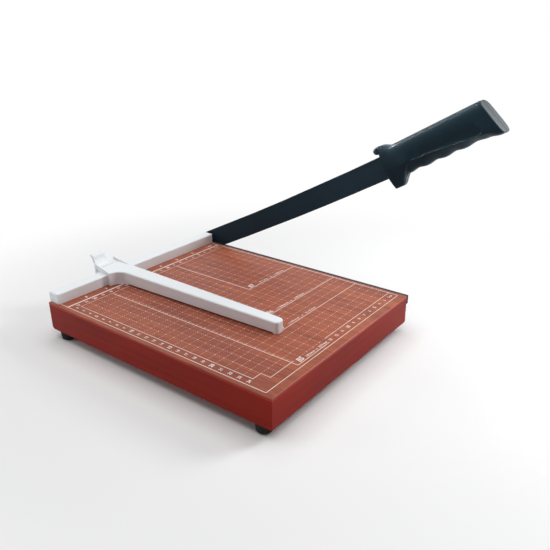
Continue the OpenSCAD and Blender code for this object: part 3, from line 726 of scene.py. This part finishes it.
def dotted_grid():
    """Rows and columns of dots, large where they cross and smaller between, with a bare near left corner."""
    w, source = geometry_tree("dotted_grid", {
        "Columns": "Int", "Rows": "Int", "Bare": "Int", "Pitch": "Float", "Dot": "Float", "Rise": "Float",
        "Middle": "Vector", "Ink": "Material"})
    parts = 4
    quarter_dot, half_dot, cross_dot = 0.44, 0.58, 1.0
    wide = w.math("MULTIPLY", source["Columns"], source["Pitch"])
    deep = w.math("MULTIPLY", source["Rows"], source["Pitch"])
    grid = w.add("GeometryNodeMeshGrid", {
        "Size X": wide, "Size Y": deep,
        "Vertices X": w.math("MULTIPLY_ADD", source["Columns"], parts, 1),
        "Vertices Y": w.math("MULTIPLY_ADD", source["Rows"], parts, 1)})
    place = w.add("ShaderNodeSeparateXYZ", {0: w.add("GeometryNodeInputPosition")})
    step = w.math("DIVIDE", source["Pitch"], parts)
    off, along = [], []
    for axis, span in (("X", wide), ("Y", deep)):
        count = w.math("DIVIDE", w.math("MULTIPLY_ADD", span, 0.5, place.outputs[axis]), step)
        along.append(w.math("ROUND", count))
        off.append(w.math("MODULO", along[-1], parts))
    stray = w.math("GREATER_THAN", w.math("MINIMUM", *off), 0.5)
    bare = w.math("LESS_THAN", w.math("MAXIMUM", *along), w.math("MULTIPLY", source["Bare"], parts))
    kept = w.add("GeometryNodeDeleteGeometry", {0: grid, 1: w.math("MAXIMUM", stray, bare)})
    far = w.math("MAXIMUM", *off)
    cross = w.math("LESS_THAN", far, 0.5)
    half = w.math("COMPARE", far, parts / 2, 0.1)
    between = w.math("MULTIPLY_ADD", half, half_dot - quarter_dot, quarter_dot)
    share = w.math("MULTIPLY_ADD", cross, cross_dot - quarter_dot, between)
    dot = w.math("MULTIPLY", share, source["Dot"])
    scale = w.add("ShaderNodeCombineXYZ", {0: dot, 1: dot, 2: source["Rise"]})
    disc = w.add("GeometryNodeMeshCylinder", {"Vertices": 8, "Radius": 0.5, "Depth": 1.0})
    dots = w.add("GeometryNodeInstanceOnPoints", {
        "Points": kept, "Instance": disc, "Scale": scale})
    moved = w.add("GeometryNodeTransform", {0: dots, "Translation": source["Middle"]})
    return close_tree(w, moved, source["Ink"])


def tick_row():
    """A row of short printed ticks."""
    w, source = geometry_tree("tick_row", {
        "Count": "Int", "Start": "Vector", "Step": "Vector", "Size": "Vector", "Ink": "Material"})
    row = w.add("GeometryNodeMeshLine", {
        "Count": source["Count"], "Start Location": source["Start"], "Offset": source["Step"]})
    tick = w.add("GeometryNodeMeshCube", {"Size": source["Size"]})
    ticks = w.add("GeometryNodeInstanceOnPoints", {"Points": row, "Instance": tick})
    return close_tree(w, ticks, source["Ink"])


class CUTTER_OT_fence(CutterOperator, bpy.types.Operator):
    """Dress the fence"""

    bl_idname = "cutter.fence"
    bl_label = "Fence"

    TOP_BAND = 2 * MM

    def build(self, size, c):
        def end_edge(edge):
            ends = any(abs(f.normal.x) > FACING for f in edge.link_faces)
            return size.fence_round if ends and mid(edge).z > FENCE[1].z - self.TOP_BAND else 0

        dress("fence_bar", "fence_rail", ["white_moulded_plastic"], end_edge, "base", "white_plastic")


class CUTTER_OT_guide(CutterOperator, bpy.types.Operator):
    """Dress the sliding paper guide, its clamp lever and the lever's pin"""

    bl_idname = "cutter.guide"
    bl_label = "Guide"
    ARM_FROM, ROUND_RUN, HEAD_FROM = (v * MM for v in (4, 14, 13))
    LEVER_FROM, FRONT_FROM, FRONT_IN = (v * MM for v in (6, 3.5, 2))
    SLIVER = 2 * MM * MM
    PIN_ROUND = 0.2 * MM

    def build(self, size, c):
        arm_from = FENCE[0].y - self.ARM_FROM
        low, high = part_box("lever_pin")
        axis = (low + high) / 2

        def guide_edge(edge):
            at, faces = mid(edge), edge.link_faces
            top = any(f.normal.z > FACING for f in faces)
            wall = any(abs(f.normal.z) < EDGE_ON for f in faces)
            if at.y < arm_from and top and wall:
                grown = clamp((arm_from - at.y) / self.ROUND_RUN)
                return mix(size.plastic_round, size.guide_round, grown)
            raised = at.z > BOARD_TOP + self.HEAD_FROM
            return size.plastic_round if raised and all(f.calc_area() > self.SLIVER for f in faces) else 0

        def lever_edge(edge):
            return size.plastic_round if mid(edge).z > low.z + self.LEVER_FROM else 0

        plastic = ["white_moulded_plastic"]
        dress("guide_arm", "paper_guide", plastic, guide_edge, "guide", "white_plastic", segments=4)
        lever = dress("guide_lever", "clamp_lever", plastic, lever_edge, "lever", "white_plastic")
        for vert in lever.data.vertices:
            if vert.co.z > axis.z + self.FRONT_FROM and vert.co.y < axis.y - self.FRONT_IN:
                vert.co.y -= size.lever_front
        dress("guide_pin", "lever_pin", ["zinc_plate"], self.PIN_ROUND, "guide", "zinc_steel", 2)


class CUTTER_OT_blades(CutterOperator, bpy.types.Operator):
    """Dress the fixed and the moving blade"""

    bl_idname = "cutter.blades"
    bl_label = "Blades"
    MARK_AT, MARK_UP = (0.4, 6), (-0.8, 6.4)
    MARK_DEEP, MARK_FOOT = 0.5, 0.1
    GROUND_OUT, GROUND_DOWN = 0.3, 0.2
    KEEN_ROUND = 0.1 * MM

    def build(self, size, c):
        down = Matrix.Rotation(-ARM_ANGLE, 3, "X") @ Vector((0, 0, -1))

        def ground(face):
            return int(face.normal.x > self.GROUND_OUT and face.normal.dot(down) > self.GROUND_DOWN)

        def blade_edge(edge):
            return 0 if any(map(ground, edge.link_faces)) else size.metal_round

        def bed_edge(edge):
            return size.metal_round if mid(edge).z < BOARD_TOP - MM else self.KEEN_ROUND

        metals = ["blue_black_coating", "ground_steel"]
        dress(
            "swinging_blade", "moving_blade", metals, blade_edge, "arm", "blade_steel",
            sort=ground, cut=self.scored_mark(size))
        dress("bed_blade", "fixed_blade", metals[:1], bed_edge, "base", "blade_steel")

    def scored_mark(self, size):
        """Solid of the line scored round an oblong on the blade's inner face, slanted on its inner side."""
        on_arm, guard_at = arm_frame(size)
        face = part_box("moving_blade")[0].x - PIVOT.x
        near, far = (at * MM - guard_at for at in self.MARK_AT)
        low, high = (up * MM for up in self.MARK_UP)
        deep = self.MARK_DEEP * size.score
        bm = bmesh.new()

        def ring(x, line):
            outline = (
                (near, low), (far, low), (far, high), (near, high), (near, high - line),
                (far - line, high - line), (far - line, low + line), (near, low + line))
            return [bm.verts.new((x, y, z)) for y, z in outline]

        above = ring(face - deep, (2 - self.MARK_FOOT) * size.score)
        below = ring(face + deep, self.MARK_FOOT * size.score)
        bm.faces.new(above)
        bm.faces.new(below)
        for i in range(len(above)):
            bm.faces.new((above[i - 1], above[i], below[i], below[i - 1]))
        bmesh.ops.recalc_face_normals(bm, faces=bm.faces)
        bm.transform(on_arm)
        return bm


# Lengths and shares of the handle's lines

GUARD_SLOPE, GUARD_RUN, GRIP_FROM, BUTT_FROM, BUTT_RUN = (v * MM for v in (1.6, 10, 22, 14, 10))
LIP_FADE, WIDEN_RUN, SLANT_RUN, BUTT_EASE, FRONT_RUN = (v * MM for v in (16, 20, 40, 1.6, 16))
GUARD_SHARE, LIP_SHARE, LIP_BLUNT, LIP_POINT = 0.9, 0.72, 0.35, 0.3
RIDGE, RIDGE_FALL, CREST, CREST_FALL = -2.3 * MM, 0.096, -0.6 * MM, 0.012
RIDGE_SOFT, CREST_SOFT = 2 * MM, 1.4 * MM
HOLLOW_FROM, HOLLOW_IN, HOLLOW_OUT, HOLLOW_PAST, HOLLOW_END = (v * MM for v in (25, 6, 3.5, 2, 6))
FLANK_SHARE = 0.45
GUARD_TIP, GUARD_BACK = (11.5 * MM, -24 * MM), (24.5 * MM, -9 * MM)
GUARD_LOW = -25 * MM
WAVES = 4
POWER, KNEE = 4.4, 0.6 * MM
LIP_END, GUARD_FACE = 0.05 * MM, 0.3 * MM
LIP_STEPS, BODY_STEPS, BUTT_STEPS = 12, 230, 8


class Grip:
    """Lines of the handle at distance s from the guard's face, about its own axis."""

    def __init__(self, size):
        self.size = size
        self.top = size.handle_h / 2
        self.low = -size.handle_h / 2
        self.end = size.handle_l
        self.grip_to = size.handle_l - BUTT_FROM
        self.lip_mid = self.top + size.lip_rise - size.lip_h / 2

    def nose(self, s):
        half = self.size.lip_h / 2
        k = max(0, half - self.size.lip_l - s) / half
        return math.sqrt(max(LIP_BLUNT ** 2, 1 - k * k))

    def top_line(self, s):
        if s < 0:
            return self.lip_mid + self.size.lip_h / 2 * self.nose(s)
        return self.top + self.size.lip_rise * ease((LIP_FADE - s) / LIP_FADE)

    def low_line(self, s):
        size = self.size
        tip = self.low - size.guard_drop
        if s < 0:
            return self.lip_mid - size.lip_h / 2 * self.nose(s)
        if s < GUARD_SLOPE:
            start = -size.edge_drop - size.handle_rise
            return mix(start, tip, s / GUARD_SLOPE)
        if s < GRIP_FROM:
            return mix(tip, self.low, ease((s - GUARD_RUN) / (GRIP_FROM - GUARD_RUN)))
        if s < self.grip_to:
            turn = 2 * math.pi * WAVES * (s - GRIP_FROM) / (self.grip_to - GRIP_FROM)
            return self.low - size.wave_depth / 2 * math.cos(turn)
        return self.low - size.wave_depth / 2 - (size.butt_drop - size.wave_depth / 2) * ease(
            (s - self.grip_to) / BUTT_RUN)

    def half_width(self, s):
        half = self.size.handle_w / 2
        if s < 0:
            return half * LIP_SHARE * mix(LIP_POINT, 1, self.nose(s))
        return half * mix(GUARD_SHARE, 1, ease((s - GUARD_RUN) / WIDEN_RUN))

    def ridge(self, s):
        return RIDGE - RIDGE_FALL * s

    def crest(self, s):
        return CREST - CREST_FALL * s

    def scallop(self, s, t):
        """Depth that the long scallop between the ridge and the crest takes off the side."""
        start = ease((s - HOLLOW_FROM) / HOLLOW_IN)
        stop = ease((self.scallop_end(s, t) - s) / HOLLOW_OUT)
        above = ease((self.crest(s) - t) / CREST_SOFT)
        below = ease((t - self.ridge(s)) / RIDGE_SOFT)
        return self.size.scallop * start * stop * above * below

    def scallop_end(self, s, t):
        """Rounded far end of the scallop."""
        top, low = self.crest(s), self.ridge(s)
        across = clamp(abs(2 * t - top - low) / (top - low))
        return self.grip_to + HOLLOW_PAST - HOLLOW_END * (1 - math.sqrt(1 - across * across))

    def flank(self, s, t):
        """Share of the width lost below the ridge: little in the guard, more in the finger zone behind it."""
        if s < 0:
            return 0
        (s0, t0), (s1, t1) = GUARD_TIP, GUARD_BACK
        behind = s - s0 - (s1 - s0) * (t - t0) / (t1 - t0)
        finger = ease(0.5 + behind / (2 * KNEE))
        ridge = self.ridge(s)
        wide = clamp((ridge - t) / (ridge - GUARD_LOW))
        deep = clamp((ridge - t) / (ridge - max(self.low_line(s), self.low - self.size.butt_drop)))
        fade = ease((self.grip_to + BUTT_RUN - s) / BUTT_RUN)
        return FLANK_SHARE * fade * mix(wide, deep, finger)

    def front(self, s, t):
        """Shift of the guard's face towards the butt, growing from the low line to the lip's top."""
        share = clamp((t - self.low) / (self.size.handle_h + self.size.lip_rise))
        along = 1 + s / self.size.lip_l if s < 0 else ease((FRONT_RUN - s) / FRONT_RUN)
        return self.size.front_lean * share * along

    def inset(self, s):
        k = max(0, (s - self.end + BUTT_EASE) / BUTT_EASE)
        return BUTT_EASE * (1 - math.sqrt(max(0, 1 - k * k)))

    def point(self, s, share):
        """Point of the +X half at share 0 to 1 of its way from the low line to the top line."""
        a = math.pi * (share - 0.5)
        hi = self.top_line(s) - self.inset(s)
        lo = self.low_line(s) + self.inset(s)
        up = math.copysign(abs(math.sin(a)) ** (2 / POWER), math.sin(a))
        t = (hi + lo) / 2 + (hi - lo) / 2 * up
        wide = (self.half_width(s) - self.inset(s)) * (1 - self.flank(s, t))
        side = wide * max(0, math.cos(a)) ** (2 / POWER)
        side = max(0, side - self.scallop(s, t)) if 0 < share < 1 else 0
        seam = self.size.seam * max(0, 1 - side / (2 * self.size.seam))
        t -= math.copysign(seam, up)
        lean = math.tan(self.size.butt_slant) * ease((s - self.end + SLANT_RUN) / SLANT_RUN)
        return Vector((side, lean * t - s - self.front(s, t), t))

    def stations(self):
        """Distances of the loft's rings: lip, body and eased butt."""
        def steps(count):
            return [i / count for i in range(count + 1)]

        quarter = math.pi / 2
        lip_run, body_run = self.size.lip_l - LIP_END, self.end - BUTT_EASE - GUARD_FACE
        lip = [-LIP_END - lip_run * math.cos(quarter * k) for k in steps(LIP_STEPS)]
        body = [GUARD_FACE + body_run * k for k in steps(BODY_STEPS)]
        butt = [self.end - BUTT_EASE * (1 - math.sin(quarter * k)) for k in steps(BUTT_STEPS)[1:]]
        return lip + body + butt


class CUTTER_OT_handle(CutterOperator, bpy.types.Operator):
    """Shape the two halves of the handle"""

    bl_idname = "cutter.handle"
    bl_label = "Handle"
    AROUND, BORE_SIDES = 48, 40
    HEAD_H, HEAD_ROOM = 2 * MM, 0.1 * MM
    CREASE = math.radians(38)
    HALVES = (("grip_inner", "handle_inner_half", -1), ("grip_outer", "handle_outer_half", 1))

    def build(self, size, c):
        on_arm, guard_at = arm_frame(size)
        on_handle = Matrix.Translation((0, -guard_at, size.handle_rise)) @ Matrix.Rotation(
            -size.handle_tilt, 4, "X")
        for name, node, side in self.HALVES:
            bm = self.half(Grip(size))
            bm.transform(on_arm @ on_handle @ Matrix.Diagonal((side, 1, 1, 1)))
            bmesh.ops.remove_doubles(bm, verts=bm.verts, dist=WELD)
            bmesh.ops.recalc_face_normals(bm, faces=bm.faces)
            piece = link_mesh(name, bm, finish("grained_grip_plastic"))
            if side > 0:
                carve(piece, self.counterbores(size))
            soften(piece, self.CREASE)
            seat(piece, "arm", "grip_plastic", node)

    def counterbores(self, size):
        """Solid of the sunk holes over the handle's screws."""
        bm = bmesh.new()
        for low, high in islands("handle_screws"):
            r = (high.y - low.y) / 2 + self.HEAD_ROOM
            place = (low + high) / 2
            place.x = high.x - self.HEAD_H + size.handle_w / 2
            bmesh.ops.create_cone(
                bm, cap_ends=True, segments=self.BORE_SIDES, radius1=r, radius2=r, depth=size.handle_w,
                matrix=Matrix.Translation(place) @ Matrix.Rotation(math.pi / 2, 4, "Y"))
        return bm

    def half(self, grip):
        """One half as a closed loft: rings over the side, then the flat of the middle plane."""
        bm = bmesh.new()
        rings = [
            [bm.verts.new(grip.point(s, i / self.AROUND)) for i in range(self.AROUND + 1)]
            for s in grip.stations()]
        for a, b in zip(rings, rings[1:]):
            for i in range(self.AROUND):
                bm.faces.new((a[i], b[i], b[i + 1], a[i + 1]))
            bm.faces.new((a[0], a[-1], b[-1], b[0]))
        bm.faces.new(rings[0])
        end = rings[-1]
        seam = grip.size.seam
        low, high = (bm.verts.new(v.co + Vector((seam, 0, 0))) for v in (end[0], end[-1]))
        for vert in (end[0], end[-1]):
            vert.co.y += seam
        bm.faces.new((low, end[0], end[1]))
        bm.faces.new((high, end[-2], end[-1]))
        bm.faces.new((end[0], low, high, end[-1]))
        bm.faces.new([high, *end[-2:0:-1], low])
        return bm


class CUTTER_OT_pivot(CutterOperator, bpy.types.Operator):
    """Dress the bolt, bush, washer, disc spring and lock nut of the pivot"""

    bl_idname = "cutter.pivot"
    bl_label = "Pivot"

    BUSH_ROUND, WASHER_ROUND = 0.15 * MM, 0.2 * MM

    def build(self, size, c):
        zinc = ["zinc_plate"]
        fine = size.metal_round
        dress("swing_bolt", "pivot_bolt", zinc, fine, "base", "zinc_steel", 2)
        dress("swing_bush", "pivot_bush", ["turned_brass"], self.BUSH_ROUND, "base", "bush_brass", 2)
        dress("swing_washer", "pivot_washer", zinc, self.WASHER_ROUND, "base", "zinc_steel", 2)
        dress("swing_spring", "disc_spring", zinc, 0, "base", "zinc_steel")
        dress("swing_nut", "lock_nut", zinc, fine, "base", "zinc_steel", 2)


class CUTTER_OT_feet(CutterOperator, bpy.types.Operator):
    """Dress the rubber feet and their washers"""

    bl_idname = "cutter.feet"
    bl_label = "Feet"

    FOOT_ROUND, WASHER_ROUND = 0.3 * MM, 0.15 * MM

    def build(self, size, c):
        for corner in ("front_left", "front_right", "rear_left", "rear_right"):
            dress(
                "rubber_" + corner, "foot_" + corner, ["matt_foot_rubber"], self.FOOT_ROUND, "base",
                "foot_rubber", 2)
        dress(
            "cup_washers", "foot_washers", ["zinc_plate"], self.WASHER_ROUND, "base", "zinc_steel", 2)


def cross_head_screws():
    """Screws with a cross recess, one on each point, head outwards along the turned Z."""
    w, source = geometry_tree("cross_head_screws", {
        "Points": "Geometry", "Turn": "Rotation", "Face": "Float", "Base": "Float", "Head": "Float",
        "Shank": "Float", "Length": "Float", "Recess": "Float", "Metal": "Material"})
    slot_share, point_share = 0.24, 0.4
    half = lambda value: w.math("MULTIPLY", value, 0.5)
    less = lambda value: w.math("MULTIPLY", value, -1.0)
    up = lambda value: w.add("ShaderNodeCombineXYZ", {2: value})
    head = w.add("GeometryNodeMeshCone", {
        "Vertices": 32, "Radius Top": half(source["Face"]), "Radius Bottom": half(source["Base"]),
        "Depth": source["Head"]})
    cap = w.add("GeometryNodeTransform", {0: head, "Translation": up(less(source["Head"]))})
    slot_w = w.math("MULTIPLY", source["Recess"], slot_share)
    bars = []
    for sides in ((source["Recess"], slot_w), (slot_w, source["Recess"])):
        deep = w.add("ShaderNodeCombineXYZ", {0: sides[0], 1: sides[1], 2: source["Head"]})
        bars.append(w.add("GeometryNodeMeshCube", {"Size": deep}))
    cut = w.add("GeometryNodeMeshBoolean", {0: cap}, operation="DIFFERENCE", solver="EXACT")
    for bar in bars:
        w.feed(cut.inputs["Mesh 2"], bar)
    shank_l = w.math("SUBTRACT", source["Length"], source["Head"])
    shank = w.add("GeometryNodeMeshCone", {
        "Vertices": 24, "Radius Top": half(source["Shank"]),
        "Radius Bottom": w.math("MULTIPLY", source["Shank"], point_share), "Depth": shank_l})
    stem = w.add("GeometryNodeTransform", {0: shank, "Translation": up(less(source["Length"]))})
    whole = w.add("GeometryNodeJoinGeometry", {0: stem})
    w.feed(whole.inputs[0], cut)
    screws = w.add("GeometryNodeInstanceOnPoints", {
        "Points": source["Points"], "Instance": whole, "Rotation": source["Turn"]})
    return close_tree(w, screws, source["Metal"])


class CUTTER_OT_screws(CutterOperator, bpy.types.Operator):
    """Make the screws of the fence, fixed blade, feet and handle"""

    bl_idname = "cutter.screws"
    bl_label = "Screws"

    DOWN, OUT = (math.pi, 0, 0), (0, math.pi / 2, 0)
    DOME, RECESS = 0.78, 0.56
    WOOD, THIN = 3.5 * MM, 3 * MM
    # Node, body, way the head faces, height of the head, width of the shank, and whether the head is flat
    KINDS = (
        ("fence_screws", "base", DOWN, 2.2 * MM, WOOD, False),
        ("foot_screws", "base", DOWN, 2.2 * MM, WOOD, False),
        ("fixed_blade_screws", "base", OUT, 1.55 * MM, WOOD, True),
        ("handle_screws", "arm", OUT, 2 * MM, THIN, False))

    def build(self, size, c):
        tree = cross_head_screws()
        for node, body, turn, head, shank, flat in self.KINDS:
            boxes = islands(node)
            low, high = boxes[0]
            spots = [self.face(b, turn) for b in boxes]
            across = high.y - low.y
            piece = grow("plated_" + node, tree, {
                "Turn": turn, "Head": head, "Shank": shank,
                "Face": across if flat else across * self.DOME, "Base": shank if flat else across,
                "Length": (high.z - low.z) if turn == self.DOWN else (high.x - low.x),
                "Recess": self.RECESS * across, "Metal": finish("zinc_plate")}, spots)
            soften(piece)
            seat(piece, body, "zinc_steel", node)

    def face(self, box, turn):
        """Middle of a screw's outer face."""
        spot = (box[0] + box[1]) / 2
        if turn == self.DOWN:
            spot.z = box[0].z
        else:
            spot.x = box[1].x
        return spot


class CUTTER_OT_stage(CutterOperator, bpy.types.Operator):
    """Set up the floor, the light and the camera"""

    bl_idname = "cutter.stage"
    bl_label = "Stage"

    LENS = 40.245
    SENSOR = 36
    AZIMUTH = math.radians(-53.696)
    ELEVATION = math.radians(23.154)
    DISTANCE = 0.68537
    AIM = Vector((0.09032, -0.01085, 0))
    SHIFT = (-0.02906, -0.0031)
    FLOOR_REACH, FADE = 6, (0.22, 0.5)
    AMBIENT = 0.15
    # Name, place, aim, side, power and beam
    LAMPS = (
        ("overhead_softbox", (0.0, 0.1, 1.35), (0, 0, 0), 1.5, 14.5),
        ("right_softbox", (0.5, -0.45, 0.47), (0.1, -0.2, 0.12), 0.26, 3.2),
        ("left_softbox", (-0.55, 0.62, 0.3), (-0.1, 0.08, 0.03), 0.4, 1.0),
        ("rear_softbox", (0.05, 1.0, 0.55), (0.11, -0.2, 0.23), 0.25, 0.5, 11),
        ("low_softbox", (0.42, -0.45, 0.03), (0.11, -0.14, 0.18), 0.12, 0.12, 24))

    def build(self, size, c):
        self.floor(c)
        self.world()
        for lamp in self.LAMPS:
            self.lamp(*lamp)
        self.camera()
        bpy.context.scene.view_settings.view_transform = "Standard"

    def floor(self, c):
        bm = bmesh.new()
        bmesh.ops.create_grid(bm, x_segments=1, y_segments=1, size=self.FLOOR_REACH)
        w = blank_material("pale_table", 0.9, c.floor, Specular_IOR_Level=0.1)
        made = finish("pale_table")
        place = w.add("ShaderNodeTexCoord")
        reach = w.add("ShaderNodeVectorMath", {0: place.outputs["Object"]}, operation="LENGTH")
        fade = w.add("ShaderNodeMapRange", {
            "Value": reach.outputs["Value"], "From Min": self.FADE[0], "From Max": self.FADE[1]},
            interpolation_type="SMOOTHSTEP")
        seen = w.add("ShaderNodeLightPath").outputs["Is Camera Ray"]
        white = w.add("ShaderNodeEmission", {"Color": rgba(WHITE), "Strength": 1.0})
        mixed = w.add("ShaderNodeMixShader", {
            "Fac": w.math("MULTIPLY", fade, seen), 1: w.bsdf, 2: white})
        output = next(n for n in w.tree.nodes if n.type == "OUTPUT_MATERIAL")
        w.feed(output.inputs["Surface"], mixed)
        link_mesh("table", bm, made)

    def seen(self, w):
        """1 for rays that show the background: seen directly, in a reflection or through glass."""
        path = w.add("ShaderNodeLightPath").outputs
        both = w.math("MAXIMUM", path["Is Camera Ray"], path["Is Glossy Ray"])
        return w.math("MAXIMUM", both, path["Is Transmission Ray"])

    def world(self):
        world = bpy.data.worlds.new("studio")
        world.use_nodes = True
        world.node_tree.nodes.clear()
        w = Wiring(world.node_tree)
        room = w.add("ShaderNodeBackground", {"Color": (0.96, 0.98, 1, 1), "Strength": self.AMBIENT})
        white = w.add("ShaderNodeBackground", {"Color": rgba(WHITE), "Strength": 1.0})
        mixed = w.add("ShaderNodeMixShader", {"Fac": self.seen(w), 1: room, 2: white})
        w.add("ShaderNodeOutputWorld", {"Surface": mixed})
        bpy.context.scene.world = world

    def lamp(self, name, place, aim, side, power, beam=180):
        data = bpy.data.lights.new(name, "AREA")
        data.size = side
        data.energy = power
        data.spread = math.radians(beam)
        lamp = put(name, data)
        lamp.location = place
        lamp.rotation_euler = (Vector(place) - Vector(aim)).to_track_quat("Z", "Y").to_euler()

    def camera(self):
        data = bpy.data.cameras.new("photo_view")
        data.lens = self.LENS
        data.sensor_width = self.SENSOR
        data.shift_x, data.shift_y = self.SHIFT
        data.clip_start = 0.01
        target = (PANEL[0] + PANEL[1]) / 2 + self.AIM
        target.z = BOARD_TOP + self.AIM.z
        level = math.cos(self.ELEVATION)
        back = Vector((
            math.sin(self.AZIMUTH) * level, -math.cos(self.AZIMUTH) * level, math.sin(self.ELEVATION)))
        view = put("photo_view", data)
        view.location = target + self.DISTANCE * back
        view.rotation_euler = back.to_track_quat("Z", "Y").to_euler()
        bpy.context.scene.camera = view


STEPS = (
    CUTTER_OT_finishes, CUTTER_OT_board, CUTTER_OT_scales, CUTTER_OT_fence, CUTTER_OT_guide,
    CUTTER_OT_blades, CUTTER_OT_handle, CUTTER_OT_pivot, CUTTER_OT_feet, CUTTER_OT_screws, CUTTER_OT_stage)


class CUTTER_PT_panel(bpy.types.Panel):
    """Lists the steps and the properties they use"""

    bl_idname = "CUTTER_PT_panel"
    bl_label = "Paper Cutter"
    bl_space_type = "VIEW_3D"
    bl_region_type = "UI"
    bl_category = "Paper Cutter"

    def draw(self, context):
        for step in STEPS:
            self.layout.operator(step.bl_idname)
        for group in (context.scene.cutter_colours, context.scene.cutter_sizes):
            for key in group.bl_rna.properties.keys():
                if key not in ("rna_type", "name"):
                    self.layout.prop(group, key)


CLASSES = (CutterColours, CutterSizes, *STEPS, CUTTER_PT_panel)


def register():
    for item in CLASSES:
        bpy.utils.register_class(item)
    bpy.types.Scene.cutter_colours = bpy.props.PointerProperty(type=CutterColours)
    bpy.types.Scene.cutter_sizes = bpy.props.PointerProperty(type=CutterSizes)


def unregister():
    del bpy.types.Scene.cutter_sizes
    del bpy.types.Scene.cutter_colours
    for item in reversed(CLASSES):
        bpy.utils.unregister_class(item)


def main():
    register()
    for step in STEPS:
        group, name = step.bl_idname.split(".")
        getattr(getattr(bpy.ops, group), name)()


if __name__ == "__main__":
    main()
